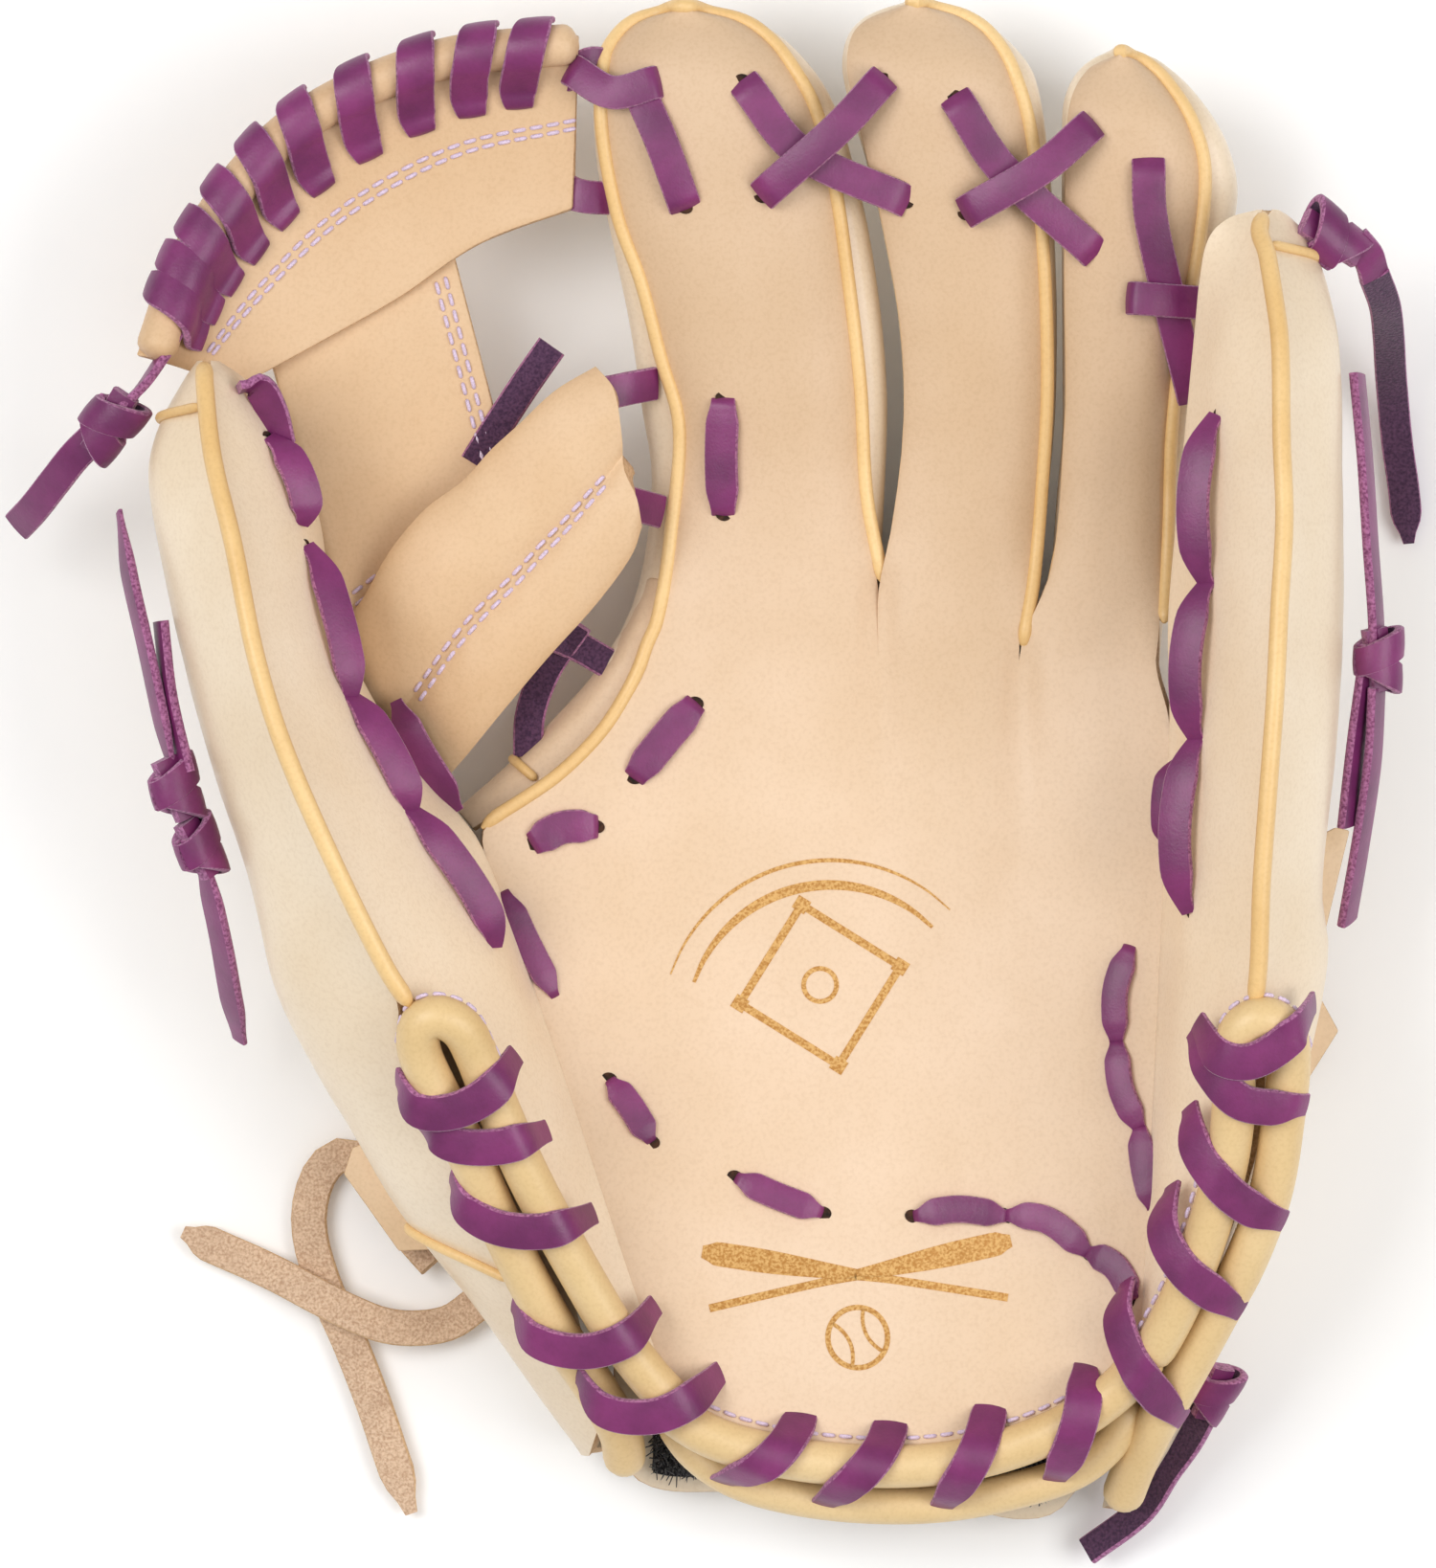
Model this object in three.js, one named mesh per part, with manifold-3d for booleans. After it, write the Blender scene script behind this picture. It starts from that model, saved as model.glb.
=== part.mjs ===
import * as THREE from 'three';
import { mergeVertices } from 'three/addons/utils/BufferGeometryUtils.js';
import Module from 'manifold-3d';

// A fielder's glove for the left hand, lying on its back with the pocket up.
// Millimetres. X: thumb (-) to little finger (+). Y: heel to fingertips. Z: up, out of the pocket.
// Rails give [y, x, f]: f is the height over the palm's deepest leather, lifted by REST at the end.
const REST = 26;                        // palm leather above the table
const CENTRE = { x: -35.34, y: 127.33 };  // middle of the glove's own box
const LEATHER = 2.2;
const GAP = 0.45;                       // air between neighbouring pieces
const ROLL = 3.0;                       // radius of the rolled heel binding
const WELT = 1.15;
const LACE = { width: 6.2, thick: 1.6 };

const colours = {
  leather: '#ecd0a2', sheen: '#ebdcc2', tan: '#dfb878', lace: '#74295f', suede: '#c9a483',
  fur: '#1c1a1d', felt: '#d9d2c4', lining: '#d8bc92',
};

// ---- small numeric helpers -------------------------------------------------------------------
const lerp = (a, b, t) => a + (b - a) * t;
const point = (x, y, f) => new THREE.Vector3(x, y, f);

function cubic(keys, t) {               // keys: [t, v0, v1 ...] in rising t; smooth through all
  const n = keys.length;
  if (t <= keys[0][0]) return keys[0].slice(1);
  if (t >= keys[n - 1][0]) return keys[n - 1].slice(1);
  let i = 0;
  while (t > keys[i + 1][0]) i += 1;
  const a = keys[i], b = keys[i + 1];
  const h = b[0] - a[0], s = (t - a[0]) / h;
  const slope = (k, c) => {
    const p = keys[Math.max(k - 1, 0)], q = keys[Math.min(k + 1, n - 1)];
    return (q[c] - p[c]) / (q[0] - p[0]);
  };
  return a.slice(1).map((v, c) => {
    const m0 = slope(i, c + 1) * h, m1 = slope(i + 1, c + 1) * h;
    const s2 = s * s, s3 = s2 * s;
    return (2 * s3 - 3 * s2 + 1) * v + (s3 - 2 * s2 + s) * m0
      + (3 * s2 - 2 * s3) * b[c + 1] + (s3 - s2) * m1;
  });
}
const rail = (rows) => {
  const keys = [...rows].sort((a, b) => a[0] - b[0]);
  return (y) => cubic(keys, y);
};

// ---- builders: every one returns one closed body ------------------------------------------------
function closed(positions, faces) {
  let volume = 0;
  const v = (i) => new THREE.Vector3(...positions[i]);
  faces.forEach(([a, b, c]) => { volume += v(a).dot(v(b).cross(v(c))); });
  const turned = volume < 0 ? faces.map(([a, b, c]) => [a, c, b]) : faces;
  const g = new THREE.BufferGeometry();
  g.setAttribute('position', new THREE.Float32BufferAttribute(positions.flat(), 3));
  g.setIndex(turned.flat());
  g.computeVertexNormals();
  return g;
}

// grids of [top, bottom] point pairs; equal top points are joined, open borders get side walls
function slab(...grids) {
  const ids = new Map(), tops = [], bottoms = [], quads = [];
  const id = ([p, q]) => {
    const key = [p.x, p.y, p.z].map((n) => Math.round(n * 1000)).join();
    if (!ids.has(key)) {
      ids.set(key, tops.length);
      tops.push(p.toArray());
      bottoms.push(q.toArray());
    }
    return ids.get(key);
  };
  grids.forEach((grid) => {
    const n = grid.map((row) => row.map(id));
    for (let j = 0; j + 1 < n.length; j += 1) {
      for (let i = 0; i + 1 < n[j].length; i += 1) {
        quads.push([n[j][i], n[j][i + 1], n[j + 1][i + 1], n[j + 1][i]]);
      }
    }
  });
  const count = tops.length, faces = [], edges = new Map();
  const top = (a, b, c) => {
    if (a === b || b === c || a === c) return;
    faces.push([a, b, c], [a + count, c + count, b + count]);
    [[a, b], [b, c], [c, a]].forEach(([s, e]) => edges.set(`${s},${e}`, [s, e]));
  };
  quads.forEach(([a, b, c, d]) => { top(a, b, c); top(a, c, d); });
  edges.forEach(([s, e]) => {
    if (!edges.has(`${e},${s}`)) faces.push([e, s, s + count], [e, s + count, e + count]);
  });
  return closed([...tops, ...bottoms], faces);
}

// a surface function (u, v) thickened between two offsets along its own normal
function panel(surface, [u0, u1], [v0, v1], [near, far], nu, nv) {
  const grid = [];
  const limit = (e, v) => (typeof e === 'function' ? e(v) : e);
  for (let j = 0; j <= nv; j += 1) {
    const v = lerp(v0, v1, j / nv), row = [];
    for (let i = 0; i <= nu; i += 1) {
      const u = lerp(limit(u0, v), limit(u1, v), i / nu);
      const p = surface(u, v);
      const du = surface(u + 0.004, v).sub(surface(u - 0.004, v));
      const dv = surface(u, v + 0.3).sub(surface(u, v - 0.3));
      const n = du.cross(dv).normalize();
      row.push([p.clone().addScaledVector(n, near), p.clone().addScaledVector(n, far)]);
    }
    grid.push(row);
  }
  return grid;
}

// a strip or bar swept along points; ups give the direction its flat side faces
function sweep(points, ups, section) {
  const n = section.length, positions = [], faces = [];
  points.forEach((p, k) => {
    const t = points[Math.min(k + 1, points.length - 1)].clone()
      .sub(points[Math.max(k - 1, 0)]).normalize();
    const side = new THREE.Vector3().crossVectors(t, ups[k]).normalize();
    const up = new THREE.Vector3().crossVectors(side, t).normalize();
    section.forEach(([a, b]) => {
      positions.push(p.clone().addScaledVector(side, a).addScaledVector(up, b).toArray());
    });
  });
  for (let k = 0; k + 1 < points.length; k += 1) {
    for (let i = 0; i < n; i += 1) {
      const a = k * n + i, b = k * n + ((i + 1) % n);
      faces.push([a, b, b + n], [a, b + n, a + n]);
    }
  }
  const last = (points.length - 1) * n;
  for (let i = 1; i + 1 < n; i += 1) {
    faces.push([0, i + 1, i], [last, last + i, last + i + 1]);
  }
  return closed(positions, faces);
}
const polygon = (r, n, flat = 1) => Array.from({ length: n }, (_, i) => {
  const a = (2 * Math.PI * (i + 0.5)) / n;
  return [r * Math.cos(a), r * flat * Math.sin(a)];
});
const strip = (w, t) => [[-w / 2, -t / 2], [w / 2, -t / 2], [w / 2, t / 2], [-w / 2, t / 2]];
function smooth(points, n) {
  const c = new THREE.CatmullRomCurve3(points.map((p) => new THREE.Vector3(...p)), false,
    'centripetal');
  return Array.from({ length: n + 1 }, (_, i) => c.getPoint(i / n));
}
const rod = (points, n, r, sides = 6) => {
  const path = smooth(points, n);
  return sweep(path, path.map(() => point(0.02, 0.03, 1)), polygon(r, sides));
};
const ribbon = (points, n, up, size = LACE) => {
  const path = smooth(points, n);
  return sweep(path, path.map(() => point(...up)), strip(size.width, size.thick));
};
function knot(c, size) {                // a pulled lace knot
  const g = new THREE.IcosahedronGeometry(1, 1);
  g.deleteAttribute('normal');
  g.deleteAttribute('uv');
  const key = new Map(), positions = [], faces = [];
  const p = g.getAttribute('position');
  for (let i = 0; i < p.count; i += 3) {
    faces.push([0, 1, 2].map((k) => {
      const v = new THREE.Vector3().fromBufferAttribute(p, i + k);
      const name = v.toArray().map((q) => Math.round(q * 1000)).join();
      if (!key.has(name)) {
        key.set(name, positions.length);
        positions.push([c[0] + v.x * size[0], c[1] + v.y * size[1], c[2] + v.z * size[2]]);
      }
      return key.get(name);
    }));
  }
  return closed(positions, faces);
}

const wasm = await Module();
wasm.setup();
function joined(...geometries) {        // overlapping pieces of one lace become one body
  const solid = geometries.map((g) => {
    const bare = g.clone();
    bare.deleteAttribute('normal');
    const m = mergeVertices(bare, 1e-4);
    return new wasm.Manifold(new wasm.Mesh({
      numProp: 3, vertProperties: m.getAttribute('position').array, triVerts: new Uint32Array(m.index.array),
    }));
  }).reduce((a, b) => a.add(b)).getMesh();
  const g = new THREE.BufferGeometry();
  g.setAttribute('position', new THREE.Float32BufferAttribute(solid.vertProperties, 3));
  g.setIndex(Array.from(solid.triVerts));
  g.computeVertexNormals();
  return g;
}

// ---- rails -----------------------------------------------------------------------------------------
const thumb = {
  inner: rail([[16, -43.2, 12.5], [40, -51.5, 8], [80, -64.8, 5], [118, -78.5, 4], [128, -86, 4],
    [140, -95.5, 4], [160, -105.5, 5], [180, -109, 6], [195, -114, 10], [205, -122, 20]]),
  mid: rail([[16, -45, 14], [40, -58, 16], [80, -70, 20], [100, -77.5, 22], [125, -92.5, 27],
    [146, -103, 28], [160, -107.5, 27], [177, -111, 26], [194, -117, 27], [205, -124, 28]]),
  ridge: rail([[3, -54, -1], [10, -51, 8], [16, -49.5, 15], [28, -59.5, 22], [41, -68, 28], [56, -75, 34], [73, -83, 40],
    [85.6, -88.5, 45], [96, -95, 48], [115.6, -104.5, 53], [136.6, -113.5, 55],
    [153, -118.6, 54], [174, -123, 50], [190, -127, 44], [205, -129, 35]]),
  side: rail([[3, -60, -10], [19, -71, -4], [32, -80, 2], [41, -87.3, 6], [53, -95.6, 12],
    [64, -101.5, 16], [75, -108, 20], [91, -116, 24], [111, -120.7, 27], [132, -127.5, 28],
    [155, -134, 28], [176, -138.2, 28], [188, -139.6, 26], [196, -138, 25], [205, -133.5, 23]]),
  low: rail([[3, -57, -18], [30, -72, -20], [60, -90, -19], [90, -105, -16], [120, -115, -12],
    [150, -124, -6], [180, -129, 0], [196, -128, 6], [205, -127, 14]]),
  back: rail([[3, -56, -21.5], [60, -68, -21.5], [105, -83, -20], [120, -90, -12], [132, -96, -4],
    [145, -103, -1], [160, -109, 0.5], [180, -113, 2], [195, -118, 6], [205, -123.5, 16]]),
};
const pinky = {
  inner: rail([[20, 44.5, 14], [53, 46.2, 12], [88, 48, 10], [124, 49.6, 10], [142, 50.4, 11],
    [160, 51.2, 13], [178, 52.2, 16], [196, 52.8, 19], [215, 54.5, 22], [232, 62, 27]]),
  mid: rail([[20, 45.2, 16], [53, 50.5, 22], [88, 53, 29], [124, 54.6, 31], [160, 57, 33],
    [196, 58.5, 34], [215, 60, 34], [232, 63, 30]]),
  ridge: rail([[-8, 40, -7], [6, 43, 3], [14, 45, 10], [20, 46, 16], [27, 49, 20], [38, 54.5, 26], [49, 58.5, 31], [61, 62, 36],
    [71, 63, 41], [82, 63.5, 45], [96, 64.8, 49], [111, 65.2, 52], [128, 66.3, 54],
    [145, 67.5, 55], [162, 68.4, 54], [178.5, 69.4, 52], [193, 69, 50], [211, 68.9, 46],
    [221, 67.8, 42], [232, 64.5, 34]]),
  side: rail([[-8, 44, -13], [6, 52, -8], [17.6, 57.3, -4], [30, 62.5, 2], [45, 67, 8],
    [64, 72.4, 16], [81.5, 76.4, 22], [98, 79.2, 24], [111, 78, 26], [137, 80.6, 28],
    [170, 81.8, 28], [204, 81.3, 28], [222, 78.6, 26], [232, 72, 25]]),
  low: rail([[-8, 42, -18], [20, 52, -19], [50, 60, -19], [80, 66, -16], [110, 69, -10],
    [140, 71, -2], [170, 72, 5], [200, 72, 11], [222, 71, 16], [232, 69, 20]]),
  back: rail([[-8, 41, -21.5], [40, 48, -21.5], [80, 50, -21.5], [110, 52, -17], [130, 53.5, -8],
    [145, 54.5, 1], [165, 55.5, 8.5], [200, 57, 15], [222, 60, 20], [232, 65, 23]]),
};
const fingers = {
  index: {
    left: rail([[150, -49.5], [161, -44.6], [178, -42], [197, -40.5], [210, -44], [224, -47.7],
      [236, -52], [253, -54.5], [264, -53], [271, -46]]),
    right: rail([[150, -6.2], [165, -4.9], [184, -7.5], [205, -8.5], [226, -11], [242, -14],
      [256, -18], [266, -25], [271, -33]]),
    outL: rail([[150, -57.5], [161, -51], [173, -47.6], [188, -46.2], [200, -48], [215, -50.2],
      [231, -53.5], [246, -56.5], [260, -56], [267, -52], [272, -45]]),
    outR: rail([[150, -5.6], [160, -5], [183, -3.6], [205, -3.2], [228, -5.8], [246, -10],
      [258, -15], [266, -22], [272, -34]]),
    top: 272,
  },
  middle: {
    left: rail([[150, -4.6], [165, -3.1], [179, -0.6], [197, 1.6], [215, 1], [234, -2.4],
      [246, -5], [262, -7.5], [268, -4], [271.5, 4]]),
    right: rail([[150, 22.3], [157, 22.2], [168, 24.6], [184, 25.6], [205, 26.6], [231, 25.6],
      [251, 22.6], [263, 18.5], [271.5, 9]]),
    outL: rail([[150, -4.4], [165, -2.6], [179, -1], [197, 1], [215, 0.2], [234, -3.4],
      [246, -6.4], [262, -9.3], [269, -6], [272.5, 3]]),
    outR: rail([[150, 22], [160, 24], [171, 26.5], [184, 27.5], [205, 29], [231, 28.5],
      [246, 27.5], [262, 23.5], [269, 17], [272.5, 8]]),
    top: 272.5,
  },
  ring: {
    left: rail([[150, 23.2], [157, 24], [171, 28.8], [197, 31.2], [205, 31.6], [225, 31.2],
      [250, 32], [258, 35], [264, 40.5]]),
    right: rail([[150, 47], [160, 48.6], [178, 49.5], [196, 50], [215, 51.5], [232, 54],
      [245, 54.5], [256, 51.5], [264, 44.5]]),
    outL: rail([[150, 23.8], [160, 26.2], [171, 28.5], [184, 29.8], [197, 30.6], [225, 30.6],
      [250, 31.5], [258, 34], [265, 40]]),
    outR: rail([[150, 47.5], [160, 49.4], [178, 51.5], [196, 55], [225, 59], [240, 61],
      [250, 59], [259, 52.5], [265, 45]]),
    top: 265,
  },
};
const frontLine = rail([[0, 10], [10, 8.5], [25, 5.5], [45, 2.4], [70, 0.4], [95, -0.6], [120, -0.8],
  [145, 0], [165, 2.2], [185, 5.5], [210, 10.5], [235, 15.5], [255, 19], [273, 20.5]]);
const hingeThumb = (y) => lerp(-41.6, -76.6, (y - 16) / 102);
const hingePinky = (y) => lerp(43.2, 48.2, (y - 20) / 104);

// ---- palm leather: the pocket and the fronts of three fingers in one hide ------------------------------
const seamOne = rail([[4, -12], [60, -13], [110, -9], [150, -5.2], [163, -4]]);
const seamTwo = rail([[4, 13], [60, 13], [110, 17], [150, 22.6], [157, 23]]);
function palmLeft(y) {
  return y < 118 ? hingeThumb(y) + 0.9
    : cubic([[118, -75.7], [125, -71.5], [133, -61.5], [143, -53], [150, -49.5], [161, -44.6]], y)[0];
}
const palmRight = (y) => (y < 150 ? lerp(hingePinky(y) - 0.7, 47, Math.max(0, (y - 110) / 40))
  : fingers.ring.right(y)[0]);
const heelLine = (x) => 7.8 + 0.0086 * x * x;
function pocket(x, y) {                 // height of the leather's face
  const xl = palmLeft(Math.min(y, 150)), xr = palmRight(Math.min(y, 150));
  const s = Math.min(1, Math.abs((2 * x - xl - xr) / (xr - xl)));
  const edge = x < 0 ? cubic([[0, 3], [16, 4], [40, 5.4], [80, 5], [118, 4.6], [150, 0]], y)[0]
    : cubic([[0, 4], [20, 8.4], [53, 9.6], [88, 9.6], [124, 9.4], [142, 7.5], [165, 3], [185, 0]],
      y)[0];
  return frontLine(y)[0] + Math.max(0, edge) * s ** 2.4;
}
const columns = [['index', palmLeft, (y) => seamOne(y)[0]],
  ['middle', (y) => seamOne(y)[0], (y) => seamTwo(y)[0]],
  ['ring', (y) => seamTwo(y)[0], palmRight]];
const crotch = 153;
const drop = (s) => 3.2 * Math.abs(2 * s - 1) ** 3.5;

function palmGrid(name, left, right, near, far, inset = 0) {
  const f = fingers[name], rows = [];
  const ys = [0, 0.06, 0.14, 0.25, 0.38, 0.52, 0.66, 0.78, 0.86, 0.93, 1];
  ys.forEach((v) => {
    rows.push([0, 0.2, 0.4, 0.6, 0.8, 1].map((s) => {
      const yMid = lerp(heelLine(0), crotch, v);
      const x = lerp(left(yMid) + (name === 'index' ? inset : 0),
        right(yMid) - (name === 'ring' ? inset : 0), s);
      const y = lerp(heelLine(x) + inset, crotch, v);
      return [x, y, pocket(x, y)];
    }));
  });
  const tip = f.top - 1.5 - 2.5 * inset;
  const step = [0.1, 0.22, 0.36, 0.5, 0.64, 0.76, 0.86, 0.93, 0.975, 1];
  step.forEach((v) => {
    const y = lerp(crotch, tip, v);
    const open = Math.min(1, v * 6);
    rows.push([0, 0.2, 0.4, 0.6, 0.8, 1].map((s) => {
      const x = lerp(lerp(left(crotch), f.left(y)[0] + inset, open),
        lerp(right(crotch), f.right(y)[0] - inset, open), s);
      const bow = (1 - (2 * s - 1) ** 2) * 2.4 * Math.max(0, (v - 0.75) * 4) ** 2;
      return [x, y + bow - 1.4, pocket(x, y) - open * drop(s)];
    }));
  });
  return rows.map((row) => row.map(([x, y, z]) => [point(x, y, z - near), point(x, y, z - far)]));
}
const palmLeather = () => slab(...columns.map(([n, l, r]) => palmGrid(n, l, r, 0, LEATHER)));
const palmLining = () => slab(...columns.map(([n, l, r]) => palmGrid(n, l, r,
  LEATHER + 0.5, LEATHER + 1.6, 5)));
const palmPad = () => slab(panel((u, y) => point(lerp(-34, 30, u), y, pocket(lerp(-34, 30, u), y)),
  [0, 1], [24, 92], [-(LEATHER + 2.1), -(LEATHER + 5.1)], 6, 7));

// ---- finger backs ------------------------------------------------------------------------------------
const backDepth = 25;
function fingerBack(name) {
  const f = fingers[name], start = 151, tip = f.top;
  const surface = (u, y) => {
    const t = Math.max(0, (y - (tip - 22)) / 22);
    const close = Math.sqrt(Math.max(0, 1 - Math.min(1, t) ** 2.2));
    const top = frontLine(y)[0] - 6.2;
    const deep = Math.max(-24.5, frontLine(y)[0] - backDepth);
    const low = lerp(top - 6, deep, 0.25 + 0.75 * close);
    const xl = f.outL(y)[0] + 0.9, xr = f.outR(y)[0] - 0.9;
    const w = xr - xl;
    const across = [[0, xl + 1.2, top], [0.16, xl, lerp(top, low, 0.32)],
      [0.32, xl + 0.14 * w, lerp(top, low, 0.86)], [0.5, (xl + xr) / 2, low],
      [0.68, xr - 0.14 * w, lerp(top, low, 0.86)], [0.84, xr, lerp(top, low, 0.32)],
      [1, xr - 1.2, top]];
    const [x, z] = cubic(across, u);
    return point(x, y, z);
  };
  return slab(panel(surface, [0, 1], [start, tip - 1.2], [0, 2], 12, 9));
}

// ---- thumb and little finger -------------------------------------------------------------------------
const between = (rails, stops) => (u, y) => {
  const [x, f] = cubic(stops.map((s, i) => [s, ...rails[i](y)]), u);
  return point(x, y, f);
};
const faceOf = (d) => between([d.inner, d.mid, d.ridge], [0, 0.45, 1]);
const shellOf = (d) => between([d.ridge, d.side, d.low, d.back], [0, 0.4, 0.75, 1]);
const trim = (surface, at, mm, y) => {
  const a = surface(at, y), b = surface(Math.abs(at - 0.08), y);
  return (0.08 * mm) / a.distanceTo(b);
};
function foldPieces({ rails, face: [y0, y1], heel, rollTop, rollRoom, s }) {
  const face = faceOf(rails), shell = shellOf(rails);
  const clear = (room, y) => lerp(room, WELT + 0.9, Math.min(1, Math.max(0, (y - rollTop) / 9)));
  const faceEnd = (y) => 1 - trim(face, 1, clear(rollRoom[0], y), y);
  const shellStart = (y) => trim(shell, 0, clear(rollRoom[1], y), y);
  return {
    front: slab(panel(face, [0, faceEnd], [y0, y1], [0, -LEATHER * s], 6, 18)),
    back: slab(panel(shell, [shellStart, 1], [heel, y1], [0, LEATHER * s], 11, 20)),
    pad: slab(panel(face, [0.2, 0.66], [y0 + 24, rollTop + 2], [-3 * s, -7 * s], 4, 6)),
    lining: slab(panel(face, [0.12, 0.82], [rollTop + 8, y1 - 16], [-3 * s, -4.1 * s], 4, 8)),
  };
}
const along = (r, ys, lift, out = 0) => ys.map((y) => {
  const [x, f] = r(y);
  return [x + out, y, f + lift];
});
const steps = (a, b, n) => Array.from({ length: n + 1 }, (_, i) => lerp(a, b, i / n));

// ---- the two rolled bindings that close thumb and little finger at the heel -----------------------------
const rolls = {
  thumbIn: [[-81.5, 83, 43], [-76.8, 73, 39], [-71.2, 61, 34], [-66.2, 50.6, 29.4], [-59.8, 39, 24],
    [-53.8, 28.5, 19.6], [-48, 20.5, 16.4]],
  thumbOut: [[-90.5, 82, 43.5], [-87.2, 73, 39.5], [-81, 61.4, 33], [-76.8, 51, 27.6],
    [-71.2, 39, 21.5], [-65.4, 28.6, 16]],
  pinkyIn: [[60.8, 83, 44.6], [60.6, 71.4, 41], [59.4, 60.7, 36], [56.5, 49, 31], [52.9, 38, 26],
    [48.8, 29.5, 21.5]],
  pinkyOut: [[69.4, 82, 44], [69.8, 70, 39], [68.2, 55, 32.5], [64, 42, 26], [58.6, 30.5, 19],
    [55.4, 25, 15.8]],
  palm: [[-41.5, 15.2, 13], [-36, 10, 12], [-28, 5.8, 11], [-15.7, 3, 10.2], [1, 2.4, 10],
    [15.7, 4.3, 10.4], [30.2, 9.6, 11.6], [41.5, 18.5, 14]],
  under: [[-38, 7, 2], [-29, 1, 1.5], [-20, -2, 1], [-6.5, -4, 1], [7.4, -4, 1], [21, -2, 1.4],
    [33, 2, 2]],
};

// ---- web: two bars and a post -------------------------------------------------------------------------
const webTop = (() => {
  const outer = [[0, -60.6, 268], [0.25, -88, 264.5], [0.5, -114, 252], [0.75, -131.5, 230],
    [1, -138.8, 213]];
  const inner = [[0, -62, 237], [0.25, -79, 231], [0.5, -94, 221], [0.75, -107, 214],
    [1, -122.5, 212.5]];
  const height = [[0, 16], [0.25, 14], [0.5, 13], [0.75, 17], [1, 24]];
  return (u, v) => {
    const t = v / 100;
    const a = cubic(outer, t), b = cubic(inner, t), h = cubic(height, t)[0];
    const s = u;
    return point(lerp(a[0], b[0], s), lerp(a[1], b[1], s), h - 7 * s * (1 - 0.4 * s));
  };
})();
const flatPanel = (corners, sag) => (u, v) => {
  const t = v / 100, [a, b, c, d] = corners;
  const mix = (k) => lerp(lerp(a[k], b[k], u), lerp(d[k], c[k], u), t);
  return point(mix(0), mix(1), mix(2) - sag * (1 - (2 * u - 1) ** 2));
};
const webPost = flatPanel([[-96.5, 161, 3], [-73, 184, 1], [-85.5, 232, 2.6], [-110.5, 213, 4]], 1);
const webBottom = flatPanel([[-99.5, 164.5, 9], [-82.5, 133.5, 8], [-52, 174, 11], [-59.5, 207, 12]], -3);

// ---- assembly ------------------------------------------------------------------------------------------
const materials = Object.fromEntries(Object.entries(colours).map(([k, c]) => [k,
  new THREE.MeshStandardMaterial({ color: c, roughness: k === 'sheen' ? 0.45 : 0.65 })]));

const group = new THREE.Group();
function add(name, geometry, slot) {
  geometry.translate(-CENTRE.x, -CENTRE.y, REST);
  const mesh = new THREE.Mesh(geometry, materials[slot]);
  mesh.name = name;
  group.add(mesh);
}

// palm: hide, lining, heel pad, finger backs, the back of the hand
add('palm_leather', palmLeather(), 'leather');
add('palm_lining', palmLining(), 'lining');
add('palm_pad', palmPad(), 'felt');
['index', 'middle', 'ring'].forEach((n) => add(`${n}_back`, fingerBack(n), 'sheen'));
const handLeft = rail([[58, -61], [85, -67], [110, -71], [130, -61], [147, -54]]);
const level = (left, right, z) => (u, y) => point(lerp(left(y)[0], right(y)[0], u), y, z);
const handRight = rail([[58, 43], [147, 46]]);
add('hand_back', slab(panel(level(handLeft, handRight, -REST), [0, 1], [58, 147], [2.4, 0], 5, 6)),
  'sheen');
add('back_lining', slab(panel(level(handLeft, handRight, -REST), [0.04, 0.96], [60, 144],
  [4.1, 2.9], 5, 6)), 'lining');

// wrist strap across the back of the heel, its fur, and the pocket's own rolled edges
const strapLeft = rail([[-9, -41], [20, -48]]), strapRight = rail([[-9, 34], [20, 38]]);
add('wrist_strap', slab(panel(level(strapLeft, strapRight, -19), [0, 1], [-9, 20], [2.4, 0], 6, 3)),
  'sheen');
add('strap_fur', slab(panel(level(strapLeft, strapRight, -19), [0.05, 0.95], [-8, 18], [7.4, 2.9],
  6, 3)), 'fur');

// welts sewn between front and back of each finger
const weltLine = (name, side, ys, out) => ys.map((y) => {
  const x = fingers[name][side](y)[0];
  return [x + out, y, frontLine(y)[0] - 3.6];
});
const weltOut = WELT + 1.5;
add('index_welt', rod(weltLine('index', 'left', steps(163, 264, 11), -weltOut), 22, WELT), 'tan');
add('middle_welt', rod(weltLine('middle', 'right', steps(174, 264, 10), weltOut - 0.6), 20, WELT),
  'tan');
add('ring_welt', rod(weltLine('ring', 'right', steps(214, 256, 5), weltOut), 10, WELT), 'tan');

// thumb and little finger: face, shell, lining, heel pad and welt each
const folds = {
  thumb: { rails: thumb, face: [18, 204], heel: 4, rollTop: 84, rollRoom: [9.4, 12], s: -1 },
  pinky: { rails: pinky, face: [22, 231], heel: -8, rollTop: 84, rollRoom: [6.2, 10], s: 1 },
};
Object.entries(folds).forEach(([name, fold]) => {
  const p = foldPieces(fold);
  add(`${name}_face`, p.front, 'leather');
  add(`${name}_shell`, p.back, 'sheen');
  add(`${name}_heel_pad`, p.pad, 'felt');
  add(`${name}_lining`, p.lining, 'lining');
  const ys = steps(fold.rollTop + 10, fold.face[1] - 3, 11);
  add(`${name}_welt`, rod(along(fold.rails.ridge, ys, 1.7), 22, WELT), 'tan');
});
const roll = (name, points) => add(name, rod(points, 14, ROLL, 8), 'tan');
roll('thumb_roll_inner', rolls.thumbIn);
roll('thumb_roll_outer', rolls.thumbOut);
roll('pinky_roll_inner', rolls.pinkyIn);
roll('pinky_roll_outer', rolls.pinkyOut);
roll('heel_roll', rolls.palm);
roll('heel_back_roll', rolls.under);

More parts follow.
